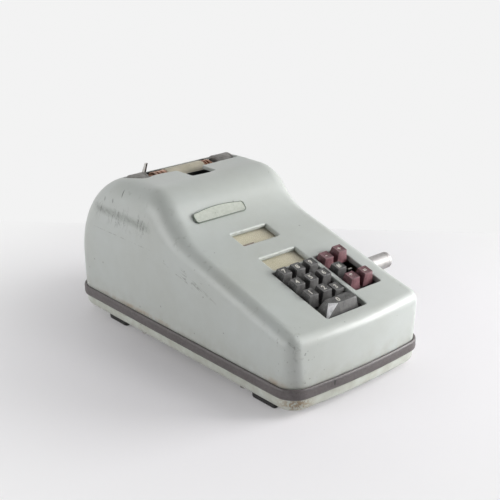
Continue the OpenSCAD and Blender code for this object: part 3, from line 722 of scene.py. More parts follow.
def add_legend(part, text, x, u, size, high, top, dish):
    """A raised sign that lies in a cap's dished top, read from the front."""
    curve = bpy.data.curves.new("sign", "FONT")
    curve.body, curve.size = text, size
    curve.align_x, curve.align_y = "CENTER", "CENTER"
    curve.resolution_u = 3
    curve.extrude = 0.03
    curve.offset = 0.2
    holder = bpy.data.objects.new("sign", curve)
    mesh = holder.to_mesh()
    mx, mu = (high[0] + high[1]) / 2, (high[2] + high[3]) / 2
    half_x, half_u = (high[1] - high[0]) / 2 - CAP_LIP, (high[3] - high[2]) / 2 - CAP_LIP
    first = len(part.points)
    for v in mesh.vertices:
        px, pu = x + v.co.x, u + v.co.y
        share = max(abs(px - mx) / half_x, abs(pu - mu) / half_u)
        part.points.append(on_deck(px, pu, top - dish * (1 - share * share) + 0.05 + v.co.z))
    for face in mesh.polygons:
        part.face(tuple(first + i for i in face.vertices), SIGN_SLOT)
    holder.to_mesh_clear()
    bpy.data.objects.remove(holder)
    bpy.data.curves.remove(curve)


def cap_rings(low, high, n0, n1, low_r, high_r, dish, cut=None):
    """Rings of a cap from its foot to the middle of its dished top."""
    rings = []
    for t, pull in CAP_LEVELS:
        x0, x1, u0, u1 = (a + (b - a) * min(t, TAPER_END) / TAPER_END for a, b in zip(low, high))
        x0, x1, u0, u1 = x0 + pull, x1 - pull, u0 + pull, u1 - pull
        flat = rect_ring(x0, x1, u0, u1, low_r + (high_r - low_r) * t, steps=2)
        if cut:
            a, b = (x0, u0 + 0.4 + cut[1] * t), (x0 + 0.4 + cut[0] * t, u0)
            flat[-3:] = [a, ((a[0] + b[0]) / 2, (a[1] + b[1]) / 2), b]
        rings.append([on_deck(x, u, n0 + (n1 - n0) * t) for x, u in flat])
    if not cut:
        x0, x1, u0, u1 = high
        edge = (x0 + CAP_LIP, x1 - CAP_LIP, u0 + CAP_LIP, u1 - CAP_LIP)
        flat = rect_ring(*edge, max(0.2, high_r - 0.2), steps=2)
    mx, mu = (high[0] + high[1]) / 2, (high[2] + high[3]) / 2
    for share in (0.86, 0.66, 0.44, 0.22):
        drop = dish * (1 - share * share)
        ring = [(mx + (x - mx) * share, mu + (u - mu) * share, n1 - drop) for x, u in flat]
        rings.append([on_deck(*p) for p in ring])
    return rings


def build_cap(x, u, lift, text):
    part = Part()
    top = CAP_TOP + lift
    low = (x - CAP_FOOT, x + CAP_FOOT, u - CAP_FOOT, u + CAP_FOOT)
    high = (x - 5.7, x + 5.7, u - 5.1, u + 6.3)
    part.loft(cap_rings(low, high, top - CAP_TALL, top, 0.45, 0.55, CAP_DISH))
    add_legend(part, text, x, u + 0.6, 8.0, high, top, CAP_DISH)
    add_stem(part, x, u, STEM_FOOT + lift, top - CAP_TALL - 0.05)
    return part


def build_bar():
    """The zero bar, with a facet at its front left corner that carries a painted highlight."""
    part = Part()
    rings = cap_rings(BAR_LOW, BAR_HIGH, BAR_FOOT, CAP_TOP, 0.5, 0.6, BAR_DISH, FACET)
    part.loft(rings)
    count = len(rings[0])
    # the facet's faces take the slot of the painted highlight
    for k in range(1, len(CAP_LEVELS)):
        part.slots[k * count - 3] = part.slots[k * count - 2] = FACET_SLOT
    add_legend(part, "0", -6.6, 31.0, 7.8, BAR_HIGH, CAP_TOP, BAR_DISH)
    add_stem(part, -6.0, 30.0, STEM_FOOT, BAR_FOOT - 0.05)
    return part


# ---- drive hub ----
HUB_BORE, HUB_DEEP = 5.0, 18.0  # the lever's socket
HUB_BACK = 7.9  # length of the hub's inner end behind the socket


def build_hub():
    part = Part()
    lo, hi, r, bore = HUB_LO.x, HUB_HI.x, HUB_R, HUB_BORE
    end = hi - HUB_DEEP - 0.3
    back = hi - HUB_DEEP - HUB_BACK
    outline = [
        (lo, 5.1), (lo, r - 0.6), (lo + 0.6, r),
        (hi - 5.0, r), (hi - 4.8, r - 0.25), (hi - 4.3, r - 0.25), (hi - 4.1, r),
        (hi - 1.0, r), (hi - 0.3, r - 0.3), (hi, r - 1.0), (hi, bore + 0.9), (hi - 0.8, bore),
        (hi - HUB_DEEP, bore), (end, bore - 0.4), (end, 0.02), (back, 0.02), (back, 5.1),
    ]
    lathe(part, outline, (HUB_LO.y + HUB_HI.y) / 2, HUB_Z)
    return part


# ---- platen ----
PLATEN_LO, PLATEN_HI = box_mm("platen_roller")
PLATEN_Y = (PLATEN_LO.y + PLATEN_HI.y) / 2
PLATEN_Z = (PLATEN_LO.z + PLATEN_HI.z) / 2
PLATEN_R = (PLATEN_HI.y - PLATEN_LO.y) / 2
SHAFT_R = 3.02  # bore of what turns with the platen's shaft
COLLAR_LO, COLLAR_HI = box_mm("platen_collars")
KNOB_LO, KNOB_HI = box_mm("platen_knobs")
KNOB_R = (KNOB_HI.y - KNOB_LO.y) / 2
KNOB_FLUTES, FLUTE_DEPTH = 30, 0.7
BRACKET_LO, BRACKET_HI = box_mm("platen_brackets")


def build_roller():
    part = Part()
    lo, hi, r = PLATEN_LO.x, PLATEN_HI.x, PLATEN_R
    outline = [
        (lo, SHAFT_R), (lo, r - 0.8), (lo + 0.3, r - 0.2), (lo + 1.0, r),
        (hi - 1.0, r), (hi - 0.3, r - 0.2), (hi, r - 0.8), (hi, SHAFT_R),
    ]
    lathe(part, outline, PLATEN_Y, PLATEN_Z, sides=96)
    return part


def build_collars():
    """Stepped metal collars with flanges and grooves at both ends of the rubber."""
    part = Part()
    lo, hi = COLLAR_LO.x, PLATEN_LO.x
    left = [
        (lo, SHAFT_R), (lo, 9.6), (lo + 0.5, 10.2), (lo + 3.0, 10.2), (lo + 3.0, 12.4), (lo + 3.5, 13.0),
        (lo + 5.6, 13.0), (lo + 6.0, 12.0), (lo + 8.2, 12.0), (lo + 8.6, 13.0), (lo + 11.0, 13.0),
        (lo + 11.5, 11.6), (lo + 13.2, 11.6), (lo + 13.6, 12.9), (hi - 0.4, 12.9), (hi, 12.5), (hi, SHAFT_R),
    ]
    lo, hi = PLATEN_HI.x, COLLAR_HI.x
    right = [
        (lo, SHAFT_R), (lo, 12.4), (lo + 0.4, 13.0), (lo + 1.5, 13.0), (lo + 1.9, 11.6), (lo + 3.1, 11.6),
        (lo + 3.5, 13.0), (lo + 4.6, 13.0), (lo + 5.0, 12.2), (lo + 5.0, 11.0), (lo + 7.2, 11.0),
        (lo + 7.6, 12.9), (lo + 10.4, 12.9), (lo + 10.8, 12.4), (lo + 10.8, 10.6), (hi - 0.4, 10.6),
        (hi, 10.2), (hi, SHAFT_R),
    ]
    for outline in (left, right):
        lathe(part, outline, PLATEN_Y, PLATEN_Z)
    return part


def build_knobs():
    """Two fluted knobs with plain rims and a hollow on the side of the brackets."""
    part = Part()
    r = KNOB_R
    for lo, hi, face in ((KNOB_LO.x, BRACKET_LO.x - 4.6, 1), (BRACKET_HI.x + 2.0, KNOB_HI.x, -1)):
        rows = [
            (lo, SHAFT_R), (lo, r - 1.4), (lo + 0.5, r - 0.4), (lo + 1.3, r), (lo + 2.6, r),
            (lo + 3.0, r - 0.5), (lo + 3.4, r - 0.1, True), (hi - 3.4, r - 0.1, True),
            (hi - 3.0, r - 0.5), (hi - 2.6, r), (hi - 1.3, r), (hi - 0.5, r - 0.4), (hi, r - 1.4),
        ]
        inner = hi if face > 0 else lo
        floor = inner - 1.2 * face
        hollow = [(inner, r - 3.4), (floor, r - 4.2), (floor, SHAFT_R)]
        if face > 0:
            rows += hollow
        else:
            rows = hollow[::-1] + rows[1:] + [(hi, SHAFT_R)]
        lathe(part, rows, PLATEN_Y, PLATEN_Z, sides=120, flutes=KNOB_FLUTES, depth=FLUTE_DEPTH)
    return part


# ---- ribbon spools ----
SPOOL_BORE, WOUND_R = 3.06, 11.2
SPOOL_SIDES = 48
WOUND_ROW = 6  # the row of the outline that starts the wound ribbon


def build_spool(node):
    """A ribbon spool: two thin flanges and a wound band between them."""
    lo, hi = box_mm(node)
    x, y, r = (lo.x + hi.x) / 2, (lo.y + hi.y) / 2, (hi.x - lo.x) / 2
    rows = [
        (SPOOL_BORE, 0.0), (r - 0.2, 0.0), (r, 0.25), (r, 0.8), (r - 0.2, 1.0), (11.4, 1.0),
        (WOUND_R, 1.6), (WOUND_R, 12.4), (11.4, 13.0), (r - 0.2, 13.0), (r, 13.2), (r, 13.75),
        (r - 0.2, 14.0), (7.0, 14.0), (6.6, 13.6), (4.6, 13.6), (4.2, 14.0), (SPOOL_BORE, 14.0),
    ]
    part = Part()
    rings = []
    for radius, h in rows:
        ring = []
        for i in range(SPOOL_SIDES):
            a = math.tau * i / SPOOL_SIDES
            ring.append(Vector((x + radius * math.cos(a), y + radius * math.sin(a), lo.z + h)) * MM)
        rings.append(ring)
    for k, (low, high) in enumerate(zip(rings, rings[1:] + rings[:1])):
        part.loft([low, high], 1 if k == WOUND_ROW else 0, capped=False)
    return part


# ---- shared node groups ----


def put(tree, kind, inputs=None, **settings):
    """Adds a node, sets its options, and links or sets its inputs."""
    made = tree.nodes.new(kind)
    for key, value in settings.items():
        setattr(made, key, value)
    for key, value in (inputs or {}).items():
        socket = made.inputs[key]
        if isinstance(value, bpy.types.NodeSocket):
            tree.links.new(value, socket)
        else:
            socket.default_value = value
    return made


def maths(tree, operation, a, b=0.0):
    return put(tree, "ShaderNodeMath", {0: a, 1: b}, operation=operation).outputs[0]


def vector_maths(tree, operation, a, b):
    return put(tree, "ShaderNodeVectorMath", {0: a, 1: b}, operation=operation)


def ramp(tree, value, low, high, start=0.0, end=1.0):
    inputs = {0: value, 1: low, 2: high, 3: start, 4: end}
    return put(tree, "ShaderNodeMapRange", inputs).outputs[0]


def object_place(tree):
    return put(tree, "ShaderNodeTexCoord").outputs["Object"]


def cloud(tree, at, scale, detail, **more):
    return put(tree, "ShaderNodeTexNoise", {"Vector": at, "Scale": scale, "Detail": detail, **more})


def new_group(name, inputs, output):
    """A node group with named number inputs (vectors where three are given) and one output."""
    tree = bpy.data.node_groups.new(name, "ShaderNodeTree")
    for label, value in inputs.items():
        kind = "NodeSocketVector" if isinstance(value, tuple) else "NodeSocketFloat"
        tree.interface.new_socket(label, in_out="INPUT", socket_type=kind).default_value = value
    tree.interface.new_socket(output, in_out="OUTPUT", socket_type="NodeSocketFloat")
    return tree, tree.nodes.new("NodeGroupInput").outputs, tree.nodes.new("NodeGroupOutput").inputs[0]


def make_mottle():
    """Broad uneven patches: a value from 0 to 1 at a given size, stretched if asked."""
    sizes = {"Scale": 30.0, "Stretch": (1.0, 1.0, 1.0), "Detail": 3.0}
    tree, given, out = new_group("mottle", sizes, "Value")
    spread = vector_maths(tree, "MULTIPLY", object_place(tree), given["Stretch"]).outputs[0]
    patches = cloud(tree, spread, given["Scale"], given["Detail"], Roughness=0.55)
    tree.links.new(ramp(tree, patches.outputs[0], 0.3, 0.7), out)
    return tree


def make_specks():
    """Small scattered dots: 1 inside a dot. Amount is the share of cells that have one."""
    tree, given, out = new_group("specks", {"Scale": 300.0, "Amount": 0.1, "Size": 0.3}, "Mask")
    spot = object_place(tree)
    bend = cloud(tree, spot, given["Scale"], 1.0).outputs["Color"]
    shift = put(tree, "ShaderNodeVectorMath", {0: bend, 3: 0.0012}, operation="SCALE").outputs[0]
    at = vector_maths(tree, "ADD", spot, shift).outputs[0]
    cells = put(tree, "ShaderNodeTexVoronoi", {"Vector": at, "Scale": given["Scale"]})
    chosen = put(tree, "ShaderNodeSeparateColor", {0: cells.outputs["Color"]}).outputs
    keep = maths(tree, "LESS_THAN", chosen[0], given["Amount"])
    reach = maths(tree, "MULTIPLY", given["Size"], chosen[1])
    dot = ramp(tree, cells.outputs["Distance"], reach, maths(tree, "MULTIPLY", reach, 0.5))
    tree.links.new(maths(tree, "MULTIPLY", keep, dot), out)
    return tree


def make_scratches():
    """Fine broken lines, 1 on a line, long in one direction that Turn sets."""
    values = {"Scale": 60.0, "Turn": (0.0, 0.0, 0.0), "Amount": 0.5}
    tree, given, out = new_group("scratches", values, "Mask")
    spot = object_place(tree)
    inputs = {"Vector": spot, "Rotation": given["Turn"]}
    turned = put(tree, "ShaderNodeVectorRotate", inputs, rotation_type="EULER_XYZ").outputs[0]
    long = vector_maths(tree, "MULTIPLY", turned, (1.0, 0.12, 1.0)).outputs[0]
    lines = cloud(tree, long, given["Scale"], 5.0, Roughness=0.65, Distortion=0.4)
    thin = maths(tree, "ABSOLUTE", maths(tree, "SUBTRACT", lines.outputs[0], 0.5))
    line = ramp(tree, thin, 0.012, 0.003)
    broken = cloud(tree, spot, 90.0, 2.0).outputs[0]
    open_at = maths(tree, "SUBTRACT", 1.0, given["Amount"])
    gate = ramp(tree, broken, open_at, maths(tree, "ADD", open_at, 0.08))
    tree.links.new(maths(tree, "MULTIPLY", line, gate), out)
    return tree


def make_grain():
    """Height of a fine surface grain over a broad waviness."""
    sizes = {"Fine Scale": 1500.0, "Broad Scale": 90.0, "Broad Share": 0.4}
    tree, given, out = new_group("grain", sizes, "Height")
    spot = object_place(tree)
    fine = cloud(tree, spot, given["Fine Scale"], 2.0).outputs[0]
    broad = cloud(tree, spot, given["Broad Scale"], 2.0).outputs[0]
    mixed = put(tree, "ShaderNodeMix", {0: given["Broad Share"], 2: fine, 3: broad})
    tree.links.new(mixed.outputs[0], out)
    return tree


def make_turning():
    """Fine rings around the X axis, as a lathe leaves them: a value from 0 to 1."""
    tree, given, out = new_group("turning", {"Scale": 900.0}, "Value")
    flat = vector_maths(tree, "MULTIPLY", object_place(tree), (1.0, 0.02, 0.02)).outputs[0]
    tree.links.new(cloud(tree, flat, given["Scale"], 2.0).outputs[0], out)
    return tree


MOTTLE, SPECKS, SCRATCHES = make_mottle(), make_specks(), make_scratches()
GRAIN, TURNING = make_grain(), make_turning()


# ---- finishes ----


def shade(r, g, b):
    """A colour given as it looks on screen, from 0 to 255, as linear values."""
    return tuple(((v / 255 + 0.055) / 1.055) ** 2.4 if v > 10 else v / 255 / 12.92 for v in (r, g, b))


class Finish:
    """A material while its nodes are being joined up. Its colour is built in coats."""

    def __init__(self, name, rough, metal=0.0):
        self.material = bpy.data.materials.new(name)
        self.material.use_nodes = True
        self.tree = self.material.node_tree
        self.shader = self.tree.nodes["Principled BSDF"]
        self.shader.inputs["Roughness"].default_value = rough
        self.shader.inputs["Metallic"].default_value = metal
        self.axes = None

    def use(self, group, **values):
        """Places a shared group with its own values and gives its output."""
        inputs = {key.replace("_", " ").title(): value for key, value in values.items()}
        made = put(self.tree, "ShaderNodeGroup", node_tree=group)
        for key, value in inputs.items():
            made.inputs[key].default_value = value
        return made.outputs[0]

    def ramp(self, value, low, high, start=0.0, end=1.0):
        return ramp(self.tree, value, low, high, start, end)

    def maths(self, operation, a, b=0.0):
        return maths(self.tree, operation, a, b)

    def times(self, first, *others):
        """The product of masks and plain numbers."""
        for other in others:
            first = self.maths("MULTIPLY", first, other)
        return first

    def off(self, value, middle):
        """How far a value lies from a middle one."""
        return self.maths("ABSOLUTE", self.maths("SUBTRACT", value, middle))

    def paint(self, under, share, over):
        """Lays one colour over another; each is a socket or a screen colour."""
        mixed = put(self.tree, "ShaderNodeMix", {0: share}, data_type="RGBA")
        for socket, value in ((mixed.inputs[6], under), (mixed.inputs[7], over)):
            if isinstance(value, bpy.types.NodeSocket):
                self.tree.links.new(value, socket)
            else:
                socket.default_value = (*shade(*value), 1.0)
        return mixed.outputs[2]

    def feed(self, **values):
        """Links values that change over the surface to the shader's sockets."""
        for key, value in values.items():
            self.tree.links.new(value, self.shader.inputs[key.replace("_", " ")])

    def bump(self, height, distance, strength):
        inputs = {"Height": height, "Distance": distance, "Strength": strength}
        self.feed(Normal=put(self.tree, "ShaderNodeBump", inputs).outputs[0])
        return self.material

    def along(self, axis):
        """The place along one axis of the object's own frame, in metres."""
        if not self.axes:
            self.axes = put(self.tree, "ShaderNodeSeparateXYZ", {0: object_place(self.tree)}).outputs
        return self.axes["XYZ".index(axis)]

    def spot(self, centre, reach, soft):
        """1 around a point in machine measures, fading to 0 at reach (three radii, in metres)."""
        off = vector_maths(self.tree, "SUBTRACT", object_place(self.tree), tuple(place(*centre)))
        scaled = vector_maths(self.tree, "DIVIDE", off.outputs[0], reach)
        length = put(self.tree, "ShaderNodeVectorMath", {0: scaled.outputs[0]}, operation="LENGTH")
        return self.ramp(length.outputs["Value"], 1.0, 1.0 - soft)

    def facing(self, direction):
        """How squarely the surface faces a direction of the object's own frame."""
        normal = put(self.tree, "ShaderNodeTexCoord").outputs["Normal"]
        return vector_maths(self.tree, "DOT_PRODUCT", normal, direction).outputs["Value"]


def make_enamel(name, light, dark, marks):
    """Satin enamel over pressed steel, with grime and chips. marks adds a part's own traces of use."""
    f = Finish(name, 0.34)
    broad = f.use(MOTTLE, scale=11.0, detail=2.0)
    fine = f.use(MOTTLE, scale=75.0, detail=4.0)
    c = f.paint(dark, broad, light)
    c = f.paint(c, f.ramp(fine, 0.0, 1.0, 0.0, 0.10), (150, 152, 140))
    # grime gathers above the seam
    low = f.ramp(f.along("Z"), 0.050, 0.026, 0.0, 0.35)
    c = f.paint(c, f.times(low, fine), (140, 132, 112))
    rough = f.ramp(broad, 0.0, 1.0, 0.32, 0.40)
    c, rough = marks(f, c, rough, fine)
    chips = f.use(SPECKS, scale=230.0, amount=0.02, size=0.30)
    c = f.paint(c, f.times(chips, 0.55), (92, 92, 84))
    f.feed(Base_Color=c, Roughness=rough)
    return f.bump(f.use(GRAIN, fine_scale=700.0, broad_scale=60.0, broad_share=0.5), 0.0003, 0.22)


# height of the scuffed band and of the long scratch below it, in metres
SCUFF_Z, SCRATCH_Z = 0.1352, 0.1113
# height of the left ridge of the deck: rise per metre to the rear, and height at the origin
RIDGE_RISE, RIDGE_Z = 0.128, 0.1005
# short strokes over the band: place in machine measures, and half height in metres
STROKES = [((-89, 304, 148.5), 0.0030), ((-89, 287, 150.0), 0.0032), ((-85, 271, 161.0), 0.0050)]


def housing_marks(f, c, rough, fine):
    """Scuffs and scratches on the housing's left side, rust at its seam and worn edges."""
    x, y, z = f.along("X"), f.along("Y"), f.along("Z")
    streaks = f.use(SCRATCHES, scale=75.0, turn=(math.radians(68), 0.0, 0.0), amount=0.62)
    hairs = f.use(SCRATCHES, scale=48.0, turn=(math.radians(-20), 0.0, 0.0), amount=0.52)
    hazy = f.use(MOTTLE, scale=300.0, stretch=(1.0, 0.5, 0.7), detail=6.0)
    left = f.ramp(x, -0.085, -0.098)
    # a scuffed band along the upper side, with hairs at its edges
    height = f.off(z, SCUFF_Z)
    span = f.times(f.ramp(y, 0.030, 0.046), f.ramp(y, 0.147, 0.125), left)
    band = f.times(f.ramp(height, 0.0068, 0.0012), span, f.ramp(hazy, 0.1, 0.7, 0.45, 1.0))
    c = f.paint(c, f.times(band, 0.52), (100, 102, 96))
    c = f.paint(c, f.times(f.ramp(height, 0.017, 0.004), span, streaks, 0.65), (80, 80, 74))
    for at, reach in STROKES:
        c = f.paint(c, f.times(f.spot(at, (0.02, 0.0009, reach), 0.5), 0.8), (58, 60, 56))
    line = f.ramp(f.off(z, SCRATCH_Z), 0.0007, 0.0002)
    c = f.paint(c, f.times(line, span, f.ramp(hazy, 0.3, 0.6), 0.45), (92, 92, 86))
    # scratches below the left ridge of the deck
    inputs = {0: y, 1: RIDGE_RISE, 2: RIDGE_Z}
    ridge = put(f.tree, "ShaderNodeMath", inputs, operation="MULTIPLY_ADD").outputs[0]
    strip = f.times(f.ramp(f.off(z, ridge), 0.011, 0.002), left, f.ramp(y, 0.03, -0.01))
    c = f.paint(c, f.times(strip, hairs, 0.62), (88, 88, 80))
    corner = f.spot((-80, 8, 58), (0.030, 0.030, 0.055), 0.9)
    dots = f.use(SPECKS, scale=270.0, amount=0.4, size=0.36)
    c = f.paint(c, f.times(corner, dots, 0.75), (70, 70, 66))
    rust = f.spot((-90, 28, 33), (0.012, 0.020, 0.0055), 0.9)
    rust = f.maths("MAXIMUM", rust, f.spot((-90, 250, 34), (0.012, 0.100, 0.0035), 0.9))
    c = f.paint(c, f.times(rust, fine, 0.75), (146, 112, 66))
    # thin spots along the rolled and rounded edges
    worn = put(f.tree, "ShaderNodeAttribute", attribute_name="wear").outputs["Fac"]
    patch = f.ramp(f.use(MOTTLE, scale=130.0, detail=5.0), 0.72, 0.95)
    c = f.paint(c, f.times(worn, patch, 0.30), (120, 122, 114))
    return c, f.maths("ADD", rough, f.times(band, 0.18))


def pan_marks(f, c, rough, fine):
    """Rust at the pan's front left corner."""
    rust = f.spot((-82, 6, 14), (0.024, 0.024, 0.014), 0.8)
    grainy = f.ramp(f.use(MOTTLE, scale=330.0, detail=5.0), 0.35, 0.6)
    return f.paint(c, f.times(rust, grainy, 0.8), (136, 110, 74)), rough


def make_band_rubber():
    f = Finish("band_rubber", 0.42)
    worn = f.use(MOTTLE, scale=40.0, detail=5.0)
    dusty = f.use(MOTTLE, scale=420.0, detail=3.0)
    c = f.paint((74, 69, 68), worn, (92, 86, 86))
    c = f.paint(c, f.times(dusty, 0.16), (150, 146, 144))
    pits = f.use(SPECKS, scale=95.0, amount=0.16, size=0.22)
    c = f.paint(c, pits, (24, 22, 22))
    crack = f.spot((-40, 0, 27.5), (0.0011, 0.01, 0.004), 0.4)
    c = f.paint(c, crack, (24, 22, 22))
    f.feed(Base_Color=c, Roughness=f.ramp(worn, 0.0, 1.0, 0.36, 0.52))
    height = f.maths("SUBTRACT", f.use(GRAIN, fine_scale=1100.0, broad_scale=130.0), pits)
    return f.bump(height, 0.0004, 0.4)


def make_plain(name, light, dark, rough, metal=0.0, scale=120.0, fine=1400.0, bump=0.25, specks=None):
    """A worn finish of two shades in patches; specks are their share of cells and their colour."""
    f = Finish(name, rough, metal)
    patch = f.use(MOTTLE, scale=scale, detail=5.0)
    c = f.paint(dark, patch, light)
    if specks:
        c = f.paint(c, f.use(SPECKS, scale=420.0, amount=specks[0], size=0.4), specks[1])
    shine = f.ramp(patch, 0.0, 1.0, rough * 0.85, min(1.0, rough * 1.2))
    f.feed(Base_Color=c, Roughness=shine)
    return f.bump(f.use(GRAIN, fine_scale=fine, broad_scale=scale), 0.0002, bump)


def make_turned(name, light, dark, rough, stain=(110, 104, 96), stained=0.25):
    """Metal turned on a lathe: fine rings, soft stains and a varied shine."""
    f = Finish(name, rough, 1.0)
    rings = f.use(TURNING, scale=1300.0)
    patch = f.use(MOTTLE, scale=140.0, detail=4.0)
    c = f.paint(dark, f.ramp(rings, 0.3, 0.7), light)
    c = f.paint(c, f.times(f.ramp(patch, 0.4, 0.9), stained), stain)
    f.feed(Base_Color=c, Roughness=f.ramp(rings, 0.3, 0.7, rough * 0.8, rough * 1.25))
    return f.bump(rings, 0.00015, 0.35)


def make_cap_plastic(name, body, worn, edge, dust):
    """Moulded key plastic: painted light on faces turned to the front, a painted highlight on the front left
    corners, lighter where rubbed, with pale dust in its pores.
    """
    f = Finish(name, 0.42)
    # painted light: faces turned to the front are painted lighter, as the lamps light them more
    front = f.ramp(f.facing((0.0, -1.0, 0.0)), 0.3, 0.8, 0.0, 0.5)
    # painted highlight on the front left corners, where they face the lamps
    corner = f.ramp(f.facing((-0.63, -0.75, 0.2)), 0.94, 0.985, 0.0, 0.75)
    rubbed = f.use(MOTTLE, scale=230.0, stretch=(1.0, 1.0, 0.6), detail=5.0)
    pores = f.use(MOTTLE, scale=900.0, detail=3.0)
    # worn is the colour of the painted light in front and also of the real rubbing
    c = f.paint(body, f.maths("ADD", front, f.ramp(rubbed, 0.1, 0.9, 0.0, 0.4)), worn)
    # edge is the colour of the painted highlight on those corners
    c = f.paint(c, corner, edge)
    c = f.paint(c, f.times(f.ramp(pores, 0.55, 1.0), 0.30), dust)
    f.feed(Base_Color=c, Roughness=f.ramp(rubbed, 0.0, 1.0, 0.36, 0.50))
    return f.bump(f.use(GRAIN, fine_scale=1700.0, broad_scale=420.0), 0.0003, 0.35)


def make_cream():
    """Yellowed card-like plate, browner to its left."""
    f = Finish("cream_plate", 0.5)
    stains = f.use(MOTTLE, scale=30.0, detail=2.0)
    c = f.paint((196, 189, 160), stains, (214, 208, 184))
    c = f.paint(c, f.ramp(f.along("X"), -0.035, 0.012, 0.0, 0.45), (188, 176, 158))
    dots = f.use(SPECKS, scale=260.0, amount=0.03, size=0.3)
    c = f.paint(c, f.times(dots, 0.4), (120, 108, 84))
    f.feed(Base_Color=c, Roughness=f.ramp(stains, 0.0, 1.0, 0.45, 0.6))
    return f.bump(f.use(GRAIN, fine_scale=900.0, broad_scale=150.0), 0.0001, 0.06)


def make_pane():
    """Clear window sheet with a faint haze."""
    f = Finish("window_glass", 0.08)
    haze = f.use(MOTTLE, scale=90.0, detail=5.0)
    f.feed(
        Base_Color=f.paint((214, 214, 202), haze, (226, 227, 218)),
        Roughness=f.ramp(haze, 0.0, 1.0, 0.05, 0.16),
        Alpha=f.ramp(haze, 0.0, 1.0, 0.04, 0.07),
    )
    return f.material


SOOT = (30, 28, 26)
RUST = (110, 84, 58)
ENAMEL = make_enamel("body_enamel", (185, 190, 187), (179, 183, 178), housing_marks)
# the pan's enamel is painted lighter than the housing's: painted light that makes up for the shade the
# rubber band casts on it
PAN_ENAMEL_LIGHTENED = make_enamel("pan_enamel_lightened", (198, 203, 195), (188, 192, 183), pan_marks)
BAND = make_band_rubber()
FOOT = make_plain("foot_rubber", (44, 43, 42), (30, 30, 30), 0.7, scale=200.0, bump=0.4)
BADGE_RIM = make_plain("badge_rim", (112, 122, 110), (96, 106, 94), 0.4, specks=(0.08, SOOT))
BADGE_FIELD = make_plain(
    "badge_field", (186, 190, 181), (170, 175, 164), 0.45, scale=300.0, specks=(0.12, (110, 118, 104))
)
# each key plastic: body colour, worn plastic that is also the painted light on front faces, painted
# highlight of the front left corners, dust
CHARCOAL = make_cap_plastic("charcoal_cap", (37, 37, 37), (112, 111, 110), (205, 204, 202), (150, 148, 142))
MAROON = make_cap_plastic("maroon_cap", (74, 40, 45), (138, 98, 103), (176, 140, 144), (170, 142, 142))
# a painted highlight for the zero bar's facet, which faces the lamps
PAINTED_FACET_HIGHLIGHT = make_plain("painted_facet_highlight", (226, 226, 228), (168, 168, 170), 0.34, scale=260.0)
SIGN = make_plain("sign_paint", (206, 204, 196), (180, 177, 168), 0.55, scale=500.0)
STEM_STEEL = make_plain(
    "stem_steel", (176, 174, 168), (136, 132, 124), 0.34, metal=1.0, scale=300.0, specks=(0.1, RUST)
)
HUB = make_turned("hub_aluminium", (176, 174, 173), (164, 162, 161), 0.62)
ROLLER = make_plain(
    "platen_rubber", (196, 190, 172), (176, 169, 150), 0.55, scale=90.0, specks=(0.12, (140, 126, 100))
)
COPPER = make_turned("copper_collar", (176, 140, 118), (128, 96, 80), 0.34, (90, 80, 74), 0.6)
KNOB = make_plain("knob_plastic", (138, 136, 132), (108, 106, 103), 0.4, scale=160.0, specks=(0.08, SOOT))
FRAME_STEEL = make_plain(
    "frame_steel", (168, 167, 162), (140, 138, 132), 0.42, metal=1.0, scale=60.0, specks=(0.1, (120, 92, 62))
)
BRIGHT = make_turned("bright_steel", (206, 204, 200), (176, 174, 170), 0.26)
BRASS = make_turned("brass", (196, 168, 108), (160, 132, 78), 0.34)
BLACK = make_plain("black_sheet", (40, 39, 38), (28, 28, 28), 0.5, scale=90.0, specks=(0.1, (70, 66, 60)))
DARK = make_plain("dark_parts", (46, 45, 45), (32, 32, 33), 0.5, scale=160.0)
INKED = make_plain("ribbon_fabric", (38, 34, 42), (24, 22, 28), 0.85, scale=600.0, fine=2600.0, bump=0.6)
FLAG = make_plain("flag_strip", (150, 132, 118), (124, 108, 98), 0.5, scale=200.0, specks=(0.1, SOOT))
CREAM = make_cream()
PANE = make_pane()


# ---- putting the pieces together ----


def add_part(name, part, materials, node, body="root", sharp=35.0):
    """Adds a lofted part that stands for one CAD node; sharp is the angle of its creases."""
    add_piece(name, part.mesh(name, materials, sharp), None, body, (node,))


add_piece("housing_skin", build_housing(), ENAMEL, stands_for=("housing",))
add_part("pan_skin", build_pan(), [PAN_ENAMEL_LIGHTENED], "base_pan")
add_part("rubber_band", build_band(), [BAND], "trim_band", sharp=60)
add_part("rubber_feet", build_feet(), [FOOT], "feet")
add_part("blank_badge", build_badge(), [BADGE_RIM, BADGE_RIM, BADGE_FIELD], "badge_plate")

for digit, (key_x, key_u) in DIGIT_SPOTS.items():
    cap = build_cap(key_x, key_u, DIGIT_LIFTS.get(digit, 0.0), digit)
    coats = [CHARCOAL, SIGN, STEM_STEEL]
    add_part(f"cap_{digit}", cap, coats, f"key_{digit}", f"key_{digit}_body")
coats = [CHARCOAL, SIGN, STEM_STEEL, PAINTED_FACET_HIGHLIGHT]
add_part("zero_bar", build_bar(), coats, "key_0", "key_0_body", sharp=24)
CAP_TONES = {"charcoal": CHARCOAL, "maroon": MAROON}
for number, (key_x, key_u, lift, sign, tone) in enumerate(FUNCTION_KEYS, 1):
    cap, node = build_cap(key_x, key_u, lift, sign), f"function_key_{number}"
    coats = [CAP_TONES[tone], SIGN, STEM_STEEL]
    add_part(f"function_cap_{number}", cap, coats, node, f"{node}_body")

add_part("turned_hub", build_hub(), [HUB], "drive_hub", "drive")
add_part("platen_rubber", build_roller(), [ROLLER], "platen_roller", "platen")
add_part("stepped_collars", build_collars(), [COPPER], "platen_collars", "platen")
add_part("fluted_knobs", build_knobs(), [KNOB], "platen_knobs", "platen", sharp=50)
for side in ("left", "right"):
    spool, node = build_spool(f"{side}_spool"), f"{side}_spool"
    add_part(f"{side}_ribbon_spool", spool, [DARK, INKED], node, f"spool_{side}")

